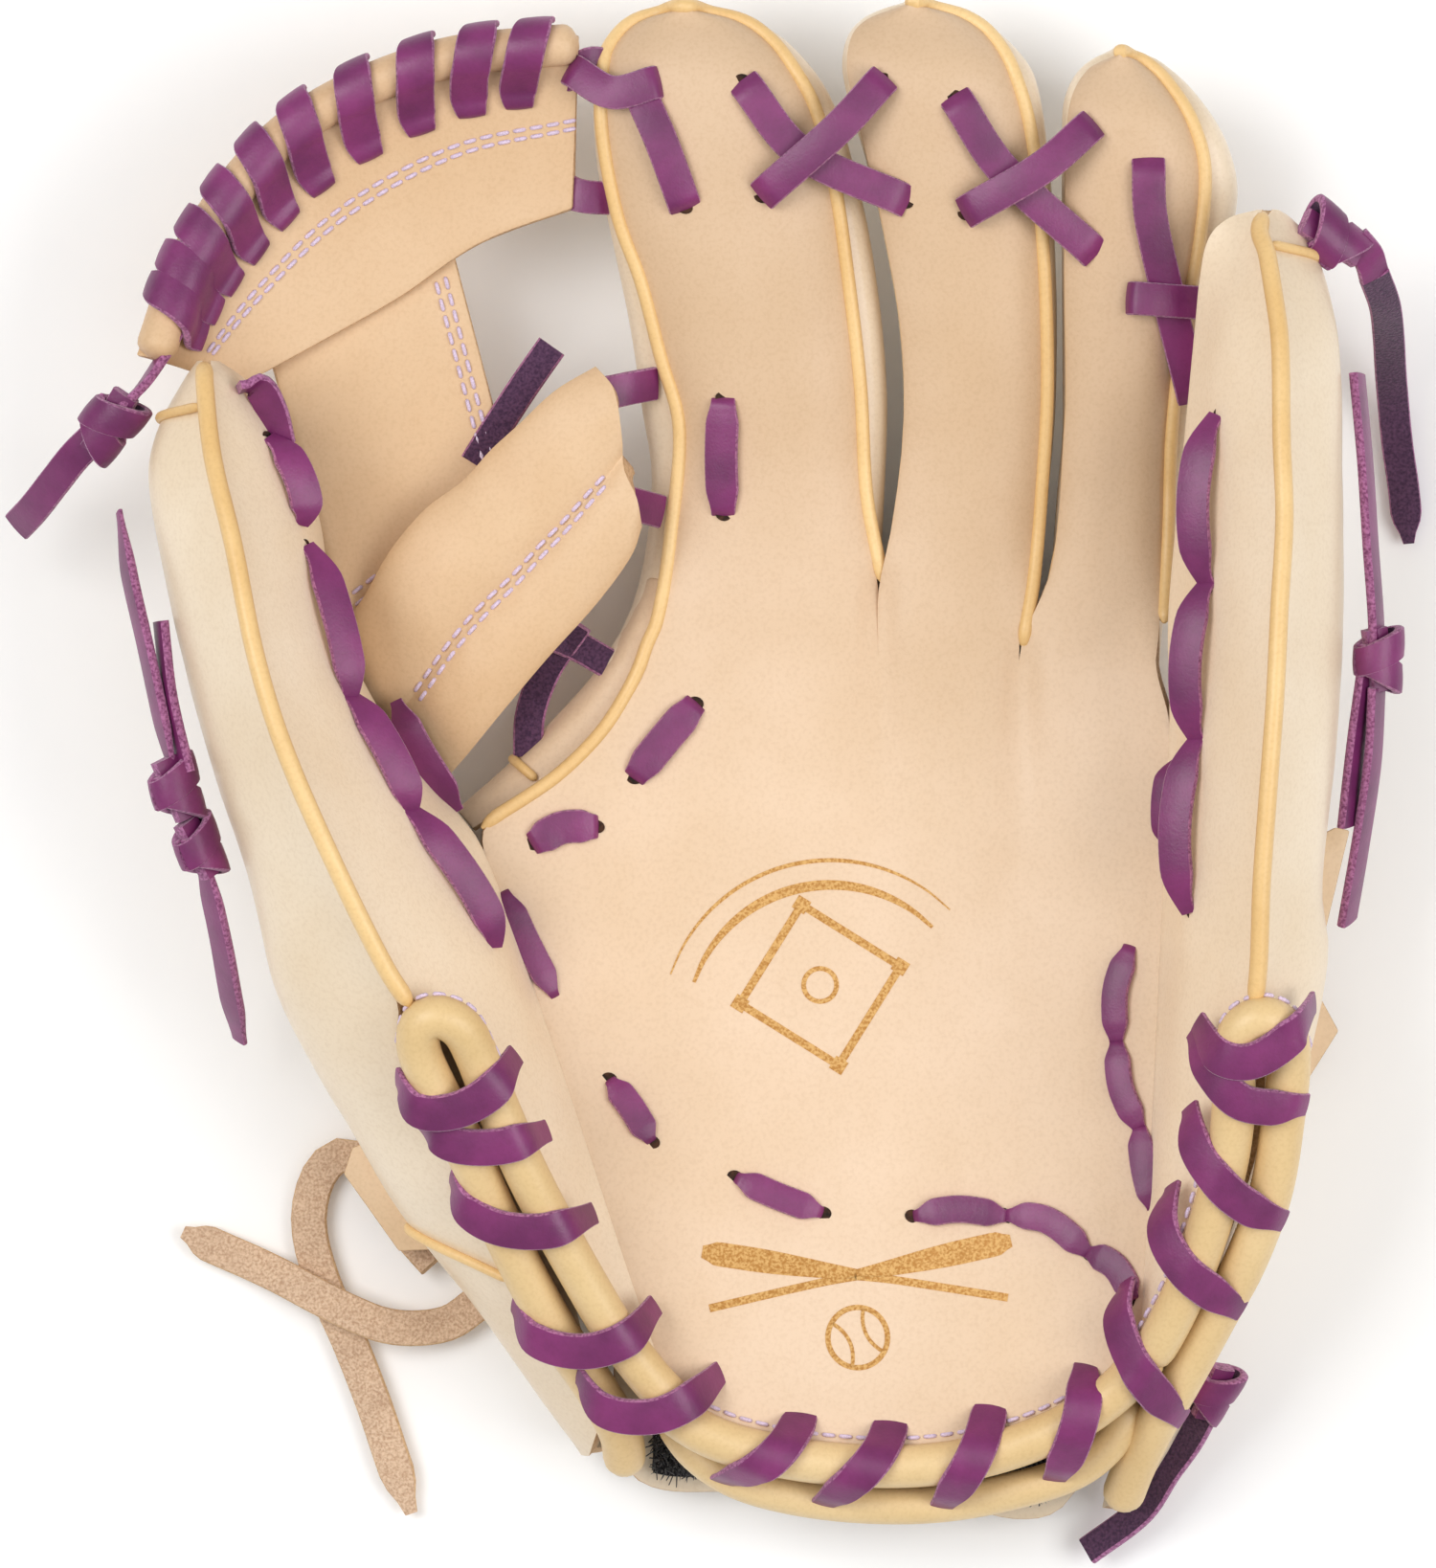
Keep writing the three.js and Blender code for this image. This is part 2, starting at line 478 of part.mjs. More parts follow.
// loops that hold the thumb and the little finger inside their stalls
const loopBand = { width: 10, thick: 1.6 };
add('thumb_loop', ribbon([[-103.5, 128, 12], [-107.8, 128.6, 24], [-110, 128, 36]], 6,
  [0.02, 1, 0.03], loopBand), 'lining');
add('pinky_loop', ribbon([[64, 122, 14], [66.8, 122.6, 25], [68, 122, 37]], 6, [0.02, 1, 0.03],
  loopBand), 'lining');

// web
add('web_top_bar', slab(panel(webTop, [0, 1], [0, 100], [0, 4.2], 5, 14)), 'leather');
add('web_post', slab(panel(webPost, [0, 1], [0, 100], [0, -3], 4, 6)), 'leather');
add('web_bottom_bar', slab(panel(webBottom, [0, 1], [0, 100], [0, -4.2], 5, 6)), 'leather');

// lacing: rawhide lace, each run that shows as one strip
const over = (surface, u, v, lift) => {
  const p = surface(u, v);
  return [p.x, p.y, p.z + lift];
};
const laceLift = LACE.thick / 2 + GAP;
add('web_lace', ribbon(steps(3, 94, 10).map((v) => over(webTop, 0.16, v, laceLift + 0.6)), 20,
  [0, 0.05, 1]), 'lace');
add('web_index_lace', ribbon([[-58.9, 262, 9], [-59.1, 246, 6], [-57.6, 237, 5], [-54.6, 222, 4],
  [-53.3, 208, 4], [-51.6, 194, 3], [-50.2, 180, 3]], 14, [1, 0.02, 0.03]), 'lace');
const onPalm = (name, points, extra = 0) => add(name, ribbon(points.map(([x, y]) => [x, y,
  pocket(x, y) + laceLift + 0.35 + extra]), 2 * points.length, [0, 0.04, 1]), 'lace');
onPalm('palm_lace_index', [[-33.3, 201.5], [-33.5, 191], [-33.3, 181]]);
onPalm('palm_lace_web_a', [[-38.7, 144.5], [-44, 138.5], [-49, 132]]);
onPalm('palm_lace_web_b', [[-69, 119], [-63, 121.5], [-57, 121]]);
onPalm('palm_lace_thumb_a', [[-67.5, 108], [-63.5, 99], [-60, 90.5]]);
onPalm('palm_lace_thumb_b', [[-54.5, 74], [-51, 68.5], [-46.8, 63]]);
onPalm('palm_lace_heel', [[-30.8, 55.4], [-23, 53], [-15, 49.5]]);
onPalm('palm_lace_corner', [[2.7, 49], [12, 49.2], [20, 48.8], [26, 46.8], [31, 43.5], [34, 38]], 0.8);
onPalm('palm_lace_side', [[36, 99.5], [35, 91], [34.5, 81.5], [34.5, 73], [35, 64]], 1.8);
const onFront = (points) => points.map(([x, y, lift]) => [x, y, frontLine(y)[0] + laceLift + lift]);
add('finger_lace', ribbon(onFront([[-47, 256, 0.6], [-42, 243, 0.6], [-33, 252, 1], [-22, 250, 1],
  [-10, 243, 1.6], [1, 240, 1], [12, 238, 1], [22, 243, 1.2], [31, 249, 1.2], [40, 248, 0.8]]), 30,
[0, 0.04, 1]), 'lace');
add('ring_pinky_lace', ribbon(onFront([[45, 242, 1.2], [46.5, 230, 1.2], [47.5, 216, 1.2]]), 6,
  [0, 0.04, 1]), 'lace');
add('thumb_lace', ribbon(along(thumb.mid, steps(98, 192, 8), 0.6, 1.9), 18, [1, 0.05, 0.45]),
  'lace');
add('pinky_lace', ribbon(along(pinky.mid, steps(92, 206, 8), 0.6, -1.9), 18, [-1, 0.02, 0.3]),
  'lace');
const heelUp = [0.02, -0.45, 0.9], heelRise = 5;
const stitched = (a, b, n) => steps(0, 1, n).map((t, k) => {
  const p = smooth(k % 2 ? a : b, 20)[Math.round(t * 18) + 1];
  return [p.x + heelUp[0] * heelRise, p.y + heelUp[1] * heelRise, p.z + heelUp[2] * heelRise];
});
add('heel_lace_thumb', ribbon(stitched(rolls.thumbIn, rolls.thumbOut, 5), 24, heelUp), 'lace');
add('heel_lace_pinky', ribbon(stitched(rolls.pinkyIn, rolls.pinkyOut, 4), 20, heelUp), 'lace');
add('heel_lace_palm', ribbon([[-37, 5.5, 14], [-28, 1.6, 14], [-15.7, -0.6, 13.6], [1, -1.2, 13.6],
  [15.7, 0.6, 13.8], [30.2, 5.6, 15]], 14, [0.02, -0.75, 0.65]), 'lace');

// knots and the lace ends that leave them
const flat = { width: 6, thick: 1.8 };
add('thumb_tip_knot', joined(knot([-148, 197, 20], [6, 6, 5]),
  ribbon([[-149, 196, 19], [-154, 191, 16], [-158, 186.5, 11], [-162.5, 181.5, 4],
    [-165.5, 178.5, -2]], 8, [-0.3, 0.4, 1], flat)), 'lace');
add('thumb_side_knot', joined(knot([-136.6, 129, 26], [5, 5.5, 5]), knot([-133, 117, 24], [5, 5, 5]),
  ribbon([[-143.8, 180, 24], [-143.2, 169, 26], [-140, 155, 27], [-137.4, 141, 27],
    [-136.6, 129, 26], [-133, 117, 23], [-127.6, 99, 15], [-125, 88, 8], [-124, 81.5, 2]],
  22, [-1, 0.02, 0.2], flat)), 'lace');
add('pinky_tip_knot', knot([83, 231, 24], [6, 6, 5.5]), 'lace');
add('pinky_side_knot', joined(knot([90.5, 153, 26], [5.4, 6, 5.4]),
  ribbon([[88, 206, 22], [88.6, 190, 24], [89.6, 174, 25], [90.5, 153, 26], [89, 134, 21],
    [86.6, 114, 14], [84.6, 103, 8]], 20, [1, 0.02, 0.1], flat)), 'lace');
add('heel_knot', joined(knot([64.5, 12, -2], [5.4, 6, 5]),
  ribbon([[63.5, 10, -4], [57, -3, -12], [50, -10, -17], [43, -15, -20.5]], 8,
    [0.4, -0.5, 1], flat)), 'lace');

// free ends: the little finger's long lace end and the wrist strap's two rawhide ties
const tube = (name, points, slot) => add(name, rod(points, 3 * points.length, 2, 8), slot);
tube('pinky_tip_tail', [[88, 224.5, 19], [90.5, 219.5, 10], [92, 214, -2], [93, 208, -12],
  [94, 201.5, -19], [95, 194, -22.6], [96.2, 186, -23.4], [97.2, 175.5, -23.4]], 'lace');
tube('tie_lace_a', [[-88, 39, -20], [-92.5, 44, -22], [-97, 51, -23], [-101.5, 57.6, -23.4],
  [-106.5, 59, -23.4], [-110.5, 54.5, -23.4], [-112, 46, -23.4], [-109.5, 35.5, -23.4],
  [-104.4, 24, -23.4], [-99.7, 12, -23.4], [-96, 1, -23.4], [-92.5, -9, -23.4]], 'suede');
tube('tie_lace_b', [[-80, 31, -22.6], [-85, 27.5, -22.4], [-91, 26.4, -21], [-97.5, 27, -19.4],
  [-104, 29.5, -18.6], [-110, 32.4, -19.4], [-117, 36, -21.8], [-123, 38.8, -23], [-129.5, 41.6, -23.4],
  [-136, 44.6, -23.4]], 'suede');

export default group;
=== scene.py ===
import math

import bmesh
import bpy
import numpy as np
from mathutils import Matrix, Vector, noise


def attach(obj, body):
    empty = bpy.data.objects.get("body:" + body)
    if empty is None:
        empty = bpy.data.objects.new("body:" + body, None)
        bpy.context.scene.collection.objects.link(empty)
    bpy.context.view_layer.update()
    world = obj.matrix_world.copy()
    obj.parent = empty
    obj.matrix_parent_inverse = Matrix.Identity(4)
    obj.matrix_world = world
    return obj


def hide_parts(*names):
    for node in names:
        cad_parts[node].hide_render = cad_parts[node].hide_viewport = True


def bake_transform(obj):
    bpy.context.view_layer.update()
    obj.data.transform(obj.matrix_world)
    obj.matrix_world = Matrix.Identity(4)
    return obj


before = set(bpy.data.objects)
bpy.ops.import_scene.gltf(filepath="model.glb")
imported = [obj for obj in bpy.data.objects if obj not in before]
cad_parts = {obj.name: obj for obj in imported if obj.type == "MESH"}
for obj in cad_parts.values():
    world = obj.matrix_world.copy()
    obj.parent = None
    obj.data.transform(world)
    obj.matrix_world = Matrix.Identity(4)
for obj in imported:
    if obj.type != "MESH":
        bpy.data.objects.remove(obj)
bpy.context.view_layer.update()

# ---- The glove's own working frame, in millimetres: x from thumb to little finger, y from heel to
# fingertips, f the height over the deepest palm leather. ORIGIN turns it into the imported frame.
ORIGIN = np.array([35.34, -127.33, 26.0])
MM = 0.001
HIDE = 2.4              # thickness of palm leather
LACE_W, LACE_T = 6.3, 1.9
ROLL_R = 4.05           # rolled heel binding
WELT_R = 1.35
CROSS_R = 0.95          # short cross piping
THREAD_R = 0.42
STITCH_PITCH, STITCH_LENGTH = 3.1, 2.3
HOLE_R = 1.55           # punched lace hole
CAMERA_PLACE = (-34.2, 129.8, 2000.0)
FRAME_HEIGHT = 294.84   # millimetres that the picture's long side takes in at the palm


def place(p):
    """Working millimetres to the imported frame's metres."""
    return (np.asarray(p, float) + ORIGIN) * MM


def lerp(a, b, t):
    return a + (b - a) * t


def unit(v):
    """The vector, or each row of vectors, at length 1."""
    v = np.asarray(v, float)
    return v / np.linalg.norm(v, axis=-1, keepdims=True)


def eased(a, b, count, power=1.0):
    """count + 1 values from a to b that crowd together toward b."""
    return [lerp(a, b, math.sin(j / count * math.pi / 2) ** power) for j in range(count + 1)]


def smoothstep(a, b, x):
    t = min(1.0, max(0.0, (x - a) / (b - a)))
    return t * t * (3 - 2 * t)


def cubic(keys, t):
    """Smooth curve through keys (t, value, value ...), held past both ends."""
    if t <= keys[0][0]:
        return np.array(keys[0][1:], float)
    if t >= keys[-1][0]:
        return np.array(keys[-1][1:], float)
    i = 0
    while t > keys[i + 1][0]:
        i += 1
    a, b = keys[i], keys[i + 1]
    h = b[0] - a[0]
    s = (t - a[0]) / h

    def slope(k):
        p, q = keys[max(k - 1, 0)], keys[min(k + 1, len(keys) - 1)]
        return (np.array(q[1:], float) - np.array(p[1:], float)) / (q[0] - p[0])

    s2, s3 = s * s, s * s * s
    return ((2 * s3 - 3 * s2 + 1) * np.array(a[1:], float) + (s3 - 2 * s2 + s) * slope(i) * h
            + (3 * s2 - 2 * s3) * np.array(b[1:], float) + (s3 - s2) * slope(i + 1) * h)


def rail(*keys):
    """A smooth line through keys (y, value ...), as a function of y."""
    keys = sorted(keys)
    return lambda y: cubic(keys, y)


def spline(points, n):
    """n + 1 evenly spaced points on a smooth curve through the given ones."""
    pts = [np.array(p, float) for p in points]
    knots = [0.0]
    for a, b in zip(pts, pts[1:]):
        knots.append(knots[-1] + max(1e-6, np.linalg.norm(b - a)) ** 0.8)
    keys = [(k, *p) for k, p in zip(knots, pts)]
    dense = [cubic(keys, knots[-1] * i / (n * 6)) for i in range(n * 6 + 1)]
    along = [0.0]
    for a, b in zip(dense, dense[1:]):
        along.append(along[-1] + np.linalg.norm(b - a))
    dense = np.array(dense)
    at = np.linspace(0, along[-1], n + 1)
    return np.stack([np.interp(at, along, dense[:, c]) for c in range(dense.shape[1])], 1)


# ---- Materials
def srgb(r, g, b):
    def linear(c):
        c /= 255
        return c / 12.92 if c <= 0.04045 else ((c + 0.055) / 1.055) ** 2.4
    return (linear(r), linear(g), linear(b), 1.0)


def material(name):
    mat = bpy.data.materials.new(name)
    mat.use_nodes = True
    tree = mat.node_tree
    return mat, tree, tree.nodes["Principled BSDF"]


def add_noise(tree, scale, detail, stretch=None):
    coord = tree.nodes.new("ShaderNodeTexCoord")
    node = tree.nodes.new("ShaderNodeTexNoise")
    node.inputs["Scale"].default_value = scale
    node.inputs["Detail"].default_value = detail
    source = coord.outputs["Object"]
    if stretch:
        mapping = tree.nodes.new("ShaderNodeMapping")
        mapping.inputs["Scale"].default_value = stretch
        tree.links.new(source, mapping.inputs["Vector"])
        source = mapping.outputs["Vector"]
    tree.links.new(source, node.inputs["Vector"])
    return node


def add_cells(tree, scale):
    coord = tree.nodes.new("ShaderNodeTexCoord")
    node = tree.nodes.new("ShaderNodeTexVoronoi")
    node.feature = "DISTANCE_TO_EDGE"
    node.inputs["Scale"].default_value = scale
    tree.links.new(coord.outputs["Object"], node.inputs["Vector"])
    return node


def ramp(tree, source, stops):
    node = tree.nodes.new("ShaderNodeValToRGB")
    elements = node.color_ramp.elements
    while len(elements) < len(stops):
        elements.new(0.5)
    for element, (at, colour) in zip(elements, stops):
        element.position = at
        element.color = colour
    tree.links.new(source, node.inputs["Fac"])
    return node.outputs["Color"]


def multiply(tree, factor, a, b):
    """Colour a multiplied by colour b, by the given share."""
    node = tree.nodes.new("ShaderNodeMix")
    node.data_type = "RGBA"
    node.blend_type = "MULTIPLY"
    node.inputs[0].default_value = factor
    tree.links.new(a, node.inputs[6])
    tree.links.new(b, node.inputs[7])
    return node.outputs[2]


def bump(tree, source, distance, strength=1.0, under=None):
    node = tree.nodes.new("ShaderNodeBump")
    node.inputs["Distance"].default_value = distance
    node.inputs["Strength"].default_value = strength
    tree.links.new(source, node.inputs["Height"])
    if under is not None:
        tree.links.new(under, node.inputs["Normal"])
    return node.outputs["Normal"]


def roughness_map(tree, shader, source, low, high):
    node = tree.nodes.new("ShaderNodeMapRange")
    node.inputs["To Min"].default_value = low
    node.inputs["To Max"].default_value = high
    tree.links.new(source, node.inputs["Value"])
    tree.links.new(node.outputs["Result"], shader.inputs["Roughness"])


def toward_tips(tree):
    """Colour made darker up the fingers: a ramp over the object's Y, from 0 to 0.07 m, that the hide's
    colour is multiplied by.
    """
    coord = tree.nodes.new("ShaderNodeTexCoord")
    parts = tree.nodes.new("ShaderNodeSeparateXYZ")
    tree.links.new(coord.outputs["Object"], parts.inputs["Vector"])
    span = tree.nodes.new("ShaderNodeMapRange")
    span.inputs["From Min"].default_value = 0.0
    span.inputs["From Max"].default_value = 0.07
    tree.links.new(parts.outputs["Y"], span.inputs["Value"])
    return ramp(tree, span.outputs["Result"], [(0.0, (1, 1, 1, 1)), (1.0, (0.86, 0.81, 0.74, 1))])


def leather(name, light, dark, rough, grain=0.00005, coat=0.0, blotch=28.0, darker_up_fingers=False):
    """Full-grain hide: slow colour clouds, fine pores and pebbled grain, faint pull marks."""
    mat, tree, shader = material(name)
    clouds = add_noise(tree, blotch, 4.0)
    pores = add_noise(tree, 1300.0, 2.0)
    cells = add_cells(tree, 1500.0)
    pulls = add_noise(tree, 170.0, 5.0, (1.0, 0.35, 1.0))
    base = ramp(tree, clouds.outputs["Fac"], [(0.32, dark), (0.66, light)])
    fine = ramp(tree, pores.outputs["Fac"], [(0.3, (0.90, 0.87, 0.83, 1)), (0.55, (1, 1, 1, 1))])
    base = multiply(tree, 0.55, base, fine)
    if darker_up_fingers:
        base = multiply(tree, 1.0, base, toward_tips(tree))
    tree.links.new(base, shader.inputs["Base Color"])
    roughness_map(tree, shader, pulls.outputs["Fac"], rough - 0.08, rough + 0.1)
    shader.inputs["Coat Weight"].default_value = coat
    shader.inputs["Coat Roughness"].default_value = 0.35
    low = bump(tree, pulls.outputs["Fac"], grain * 5, 0.5)
    middle = bump(tree, cells.outputs["Distance"], grain, 0.5, low)
    tree.links.new(bump(tree, pores.outputs["Fac"], grain, 0.6, middle), shader.inputs["Normal"])
    return mat


def suede(name, light, dark, sheen, scale=900.0):
    """The napped flesh side or the cut edge of a hide."""
    mat, tree, shader = material(name)
    nap = add_noise(tree, scale, 6.0)
    clouds = add_noise(tree, 120.0, 4.0)
    colour = ramp(tree, nap.outputs["Fac"], [(0.35, dark), (0.62, light)])
    shade = ramp(tree, clouds.outputs["Fac"], [(0.3, (0.78, 0.76, 0.76, 1)), (0.7, (1, 1, 1, 1))])
    tree.links.new(multiply(tree, 0.6, colour, shade), shader.inputs["Base Color"])
    shader.inputs["Roughness"].default_value = 0.95
    shader.inputs["Sheen Weight"].default_value = sheen
    tree.links.new(bump(tree, nap.outputs["Fac"], 0.00035, 0.8), shader.inputs["Normal"])
    return mat


def thread_material(name, colour):
    mat, tree, shader = material(name)
    twist = add_noise(tree, 2600.0, 2.0)
    tint = ramp(tree, twist.outputs["Fac"], [(0.3, tuple(0.72 * c for c in colour[:3]) + (1,)),
                                             (0.6, colour)])
    tree.links.new(tint, shader.inputs["Base Color"])
    shader.inputs["Roughness"].default_value = 0.6
    tree.links.new(bump(tree, twist.outputs["Fac"], 0.00012), shader.inputs["Normal"])
    return mat


def foil_material(name):
    """Worn gold foil: rubbed through to the leather in specks."""
    mat, tree, shader = material(name)
    wear = add_noise(tree, 1900.0, 5.0)
    colour = ramp(tree, wear.outputs["Fac"], [(0.40, srgb(176, 122, 52)), (0.60, srgb(214, 170, 104))])
    tree.links.new(colour, shader.inputs["Base Color"])
    shader.inputs["Metallic"].default_value = 0.35
    roughness_map(tree, shader, wear.outputs["Fac"], 0.35, 0.7)
    tree.links.new(bump(tree, wear.outputs["Fac"], 0.00008), shader.inputs["Normal"])
    return mat


PALM = leather("palm_hide", srgb(231, 204, 175), srgb(222, 193, 160), 0.5, darker_up_fingers=True)
FACE = leather("fold_hide", srgb(249, 231, 206), srgb(242, 220, 190), 0.5)
WEB = leather("web_hide", srgb(221, 188, 150), srgb(212, 176, 135), 0.5)
SHEEN = leather("shell_hide", srgb(240, 222, 196), srgb(232, 210, 179), 0.34, 0.00004, coat=0.15)
TAN = leather("tan_piping", srgb(240, 205, 146), srgb(224, 182, 118), 0.42, 0.00004, coat=0.1)
ROLL = leather("heel_binding_hide", srgb(232, 203, 152), srgb(220, 187, 132), 0.42, 0.00004, coat=0.1)
LACE = leather("purple_lace", srgb(132, 48, 108), srgb(104, 34, 86), 0.40, 0.00006, coat=0.08,
               blotch=90.0)
LACE_EDGE = suede("purple_lace_edge", srgb(186, 118, 164), srgb(124, 60, 104), 0.25, 1800.0)
LACE_BACK = suede("purple_lace_back", srgb(92, 58, 88), srgb(60, 32, 62), 0.2, 1800.0)
RAW = suede("raw_flesh_side", srgb(226, 196, 166), srgb(190, 154, 124), 0.3, 1900.0)
RAW_FACE = leather("raw_grain_side", srgb(236, 208, 172), srgb(222, 188, 148), 0.5)
CUT = suede("cut_edge", srgb(226, 190, 146), srgb(196, 156, 112), 0.1, 1500.0)
LINING = leather("lining_hide", srgb(226, 190, 140), srgb(208, 168, 116), 0.6)
THREAD = thread_material("pale_thread", srgb(226, 206, 230))
FOIL = foil_material("worn_foil")
# Painted shadow: the dark colour of the dishes that stand in for the punched lace holes.
HOLE_SHADOW = suede("hole_shadow", srgb(74, 44, 26), srgb(30, 18, 12), 0.0)
FELT = suede("wool_felt", srgb(222, 214, 200), srgb(190, 180, 164), 0.4)
FUR = suede("black_pile", srgb(46, 43, 48), srgb(12, 11, 13), 0.5, 1400.0)


# ---- Mesh builders
def declare(obj, slot, body=None, *nodes):
    """The piece's finish slot, which is not used; the body that carries it and the solids that it
    stands for.
    """
    if body:
        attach(obj, body)
    if nodes:
        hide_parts(*nodes)
    return obj


def link(name, mesh, *materials):
    obj = bpy.data.objects.new(name, mesh)
    bpy.context.scene.collection.objects.link(obj)
    for mat in materials:
        mesh.materials.append(mat)
    return obj


def smooth_shading(mesh, sharp=38.0):
    bm = bmesh.new()
    bm.from_mesh(mesh)
    for face in bm.faces:
        face.smooth = True
    for edge in bm.edges:
        edge.smooth = len(edge.link_faces) == 2 and edge.calc_face_angle(0) < math.radians(sharp)
    bm.to_mesh(mesh)
    bm.free()


def settle(obj):
    """Writes the modifiers into the mesh."""
    depsgraph = bpy.context.evaluated_depsgraph_get()
    mesh = bpy.data.meshes.new_from_object(obj.evaluated_get(depsgraph))
    obj.modifiers.clear()
    old = obj.data
    obj.data = mesh
    bpy.data.meshes.remove(old)


def grids_mesh(name, grids):
    """One mesh from point grids in working millimetres; equal points are joined."""
    verts, faces = [], []
    for grid in grids:
        base, cols = len(verts), len(grid[0])
        for row in grid:
            verts.extend(place(row))
        for j in range(len(grid) - 1):
            for i in range(cols - 1):
                a = base + j * cols + i
                faces.append((a, a + 1, a + cols + 1, a + cols))
    mesh = bpy.data.meshes.new(name)
    mesh.from_pydata([tuple(v) for v in verts], [], faces)
    bm = bmesh.new()
    bm.from_mesh(mesh)
    bmesh.ops.remove_doubles(bm, verts=bm.verts, dist=2e-5)
    bmesh.ops.recalc_face_normals(bm, faces=bm.faces)
    bm.to_mesh(mesh)
    bm.free()
    return mesh


def hide(name, grids, thick, mats, outward, edge=0.45):
    """A leather panel: the grids are its face, thickened behind, with softened cut edges.

    outward is a direction that the face's average normal should agree with."""
    mesh = grids_mesh(name, grids)
    total = sum((p.normal * p.area for p in mesh.polygons), Vector())
    if total.dot(Vector(outward)) < 0:
        mesh.flip_normals()
    obj = link(name, mesh, *mats)
    solid = obj.modifiers.new("thick", "SOLIDIFY")
    solid.thickness = thick * MM
    solid.offset = -1.0
    if len(mats) > 1:
        solid.material_offset_rim = 1
    if edge:
        bevel = obj.modifiers.new("edge", "BEVEL")
        bevel.width = edge * MM
        bevel.segments = 2
        bevel.limit_method = "ANGLE"
        bevel.angle_limit = math.radians(55)
    settle(obj)
    smooth_shading(obj.data)
    return obj


def frames(path, side_hint):
    """Side and up vectors along a path; side stays as near the hints as it can."""
    path = np.array(path, float)
    tangent = unit(np.gradient(path, axis=0))
    hints = np.array(side_hint, float)
    if hints.ndim == 1:
        hints = np.tile(hints, (len(path), 1))
    elif len(hints) != len(path):
        at = np.linspace(0, 1, len(path))
        known = np.linspace(0, 1, len(hints))
        hints = np.stack([np.interp(at, known, hints[:, c]) for c in range(3)], 1)
    side = unit(hints - (hints * tangent).sum(1)[:, None] * tangent)
    return side, np.cross(side, tangent)


def swept(path, side_hint, section, scale):
    """Vertices and faces of a section swept along a path, with per-face section index."""
    side, up = frames(path, side_hint)
    n = len(section)
    verts, faces, tags = [], [], []
    for k, p in enumerate(path):
        grow = scale(k / (len(path) - 1))
        for a, b in section:
            verts.append(place(np.asarray(p) + grow * (side[k] * a + up[k] * b)))
    for k in range(len(path) - 1):
        for i in range(n):
            a, b = k * n + i, k * n + (i + 1) % n
            faces.append((a, b, b + n, a + n))
            tags.append(i)
    last = (len(path) - 1) * n
    faces.append(tuple(range(n - 1, -1, -1)))
    faces.append(tuple(last + i for i in range(n)))
    tags.extend([-1, -1])
    return verts, faces, tags


def prism(top, low):
    """A plate between two matching outlines."""
    n = len(top)
    faces = [tuple(range(n)), tuple(range(2 * n - 1, n - 1, -1))]
    faces += [(k, k + n, (k + 1) % n + n, (k + 1) % n) for k in range(n)]
    return [place(p) for p in top + low], faces, [0] * len(faces)


def merged(name, parts, mats, sharp=42.0, choose=None):
    """Joins swept parts into one mesh object; choose(tag) picks the material index."""
    verts, faces, index = [], [], []
    for part_verts, part_faces, tags in parts:
        base = len(verts)
        verts.extend(part_verts)
        faces.extend(tuple(base + i for i in face) for face in part_faces)
        index.extend(choose(t) if choose else 0 for t in tags)
    mesh = bpy.data.meshes.new(name)
    mesh.from_pydata([tuple(v) for v in verts], [], faces)
    obj = link(name, mesh, *mats)
    mesh.polygons.foreach_set("material_index", index)
    bm = bmesh.new()
    bm.from_mesh(mesh)
    bmesh.ops.recalc_face_normals(bm, faces=bm.faces)
    bm.to_mesh(mesh)
    bm.free()
    smooth_shading(mesh, sharp)
    return obj


def circle(r, n):
    return [(r * math.cos(2 * math.pi * i / n), r * math.sin(2 * math.pi * i / n))
            for i in range(n)]


def tube(points, r, n, steps):
    """A round cord with rounded ends."""
    path = spline(points, steps)
    ends = 3.0 / len(path)

    def rounded(t):
        e = min(t, 1 - t) / ends
        return 1.0 if e >= 1 else max(0.25, math.sqrt(1 - (1 - e) ** 2))

    return swept(path, (0.03, 0.05, 1.0), circle(r, n), rounded)


LACE_TOP = 6  # section segments with the smooth grain face


def lace_section(width=LACE_W, thick=LACE_T):
    """Flat lace: slightly crowned grain face, then soft corners and the napped back."""
    w, t = width / 2, thick / 2
    top = [(-w * 0.92 + 2 * w * 0.92 * i / LACE_TOP, t * (1 - 0.22 * abs(2 * i / LACE_TOP - 1) ** 2))
           for i in range(LACE_TOP + 1)]
    back = [(w, t * 0.35), (w * 0.99, -t * 0.5), (w * 0.86, -t), (0, -t * 0.95), (-w * 0.86, -t),
            (-w * 0.99, -t * 0.5), (-w, t * 0.35)]
    return top + back


def lace_face(tag):
    """Grain face, napped edge or napped back."""
    if 0 <= tag < LACE_TOP:
        return 0
    return 2 if tag in (LACE_TOP + 3, LACE_TOP + 4) else 1


def facing(path, side, out):
    """Turns the width direction so that the grain face looks along out at the furthest point."""
    side, up = frames(path, side)
    k = int(np.argmax(path @ np.array(out, float)))
    return side if up[k] @ np.array(out, float) > 0 else -side


def lace(points, side, steps=36, width=LACE_W, thick=LACE_T, smooth=True, out=(0, 0, 1),
         pinch=1.0):
    """A flat lace. pinch is the share of the width left where an end dives into its hole."""
    path = spline(points, steps) if smooth else np.array(points, float)
    return swept(path, facing(path, side, out), lace_section(width, thick),
                 lambda t: lerp(pinch, 1.0, smoothstep(0.0, 0.24, min(t, 1 - t))))


def laces(name, parts, body, node, mats=(LACE, LACE_EDGE, LACE_BACK)):
    return declare(merged(name, parts, mats, choose=lace_face), "lace", body, node)


def measured(path):
    """Length along a path."""
    return float(np.linalg.norm(np.diff(path, axis=0), axis=1).sum())


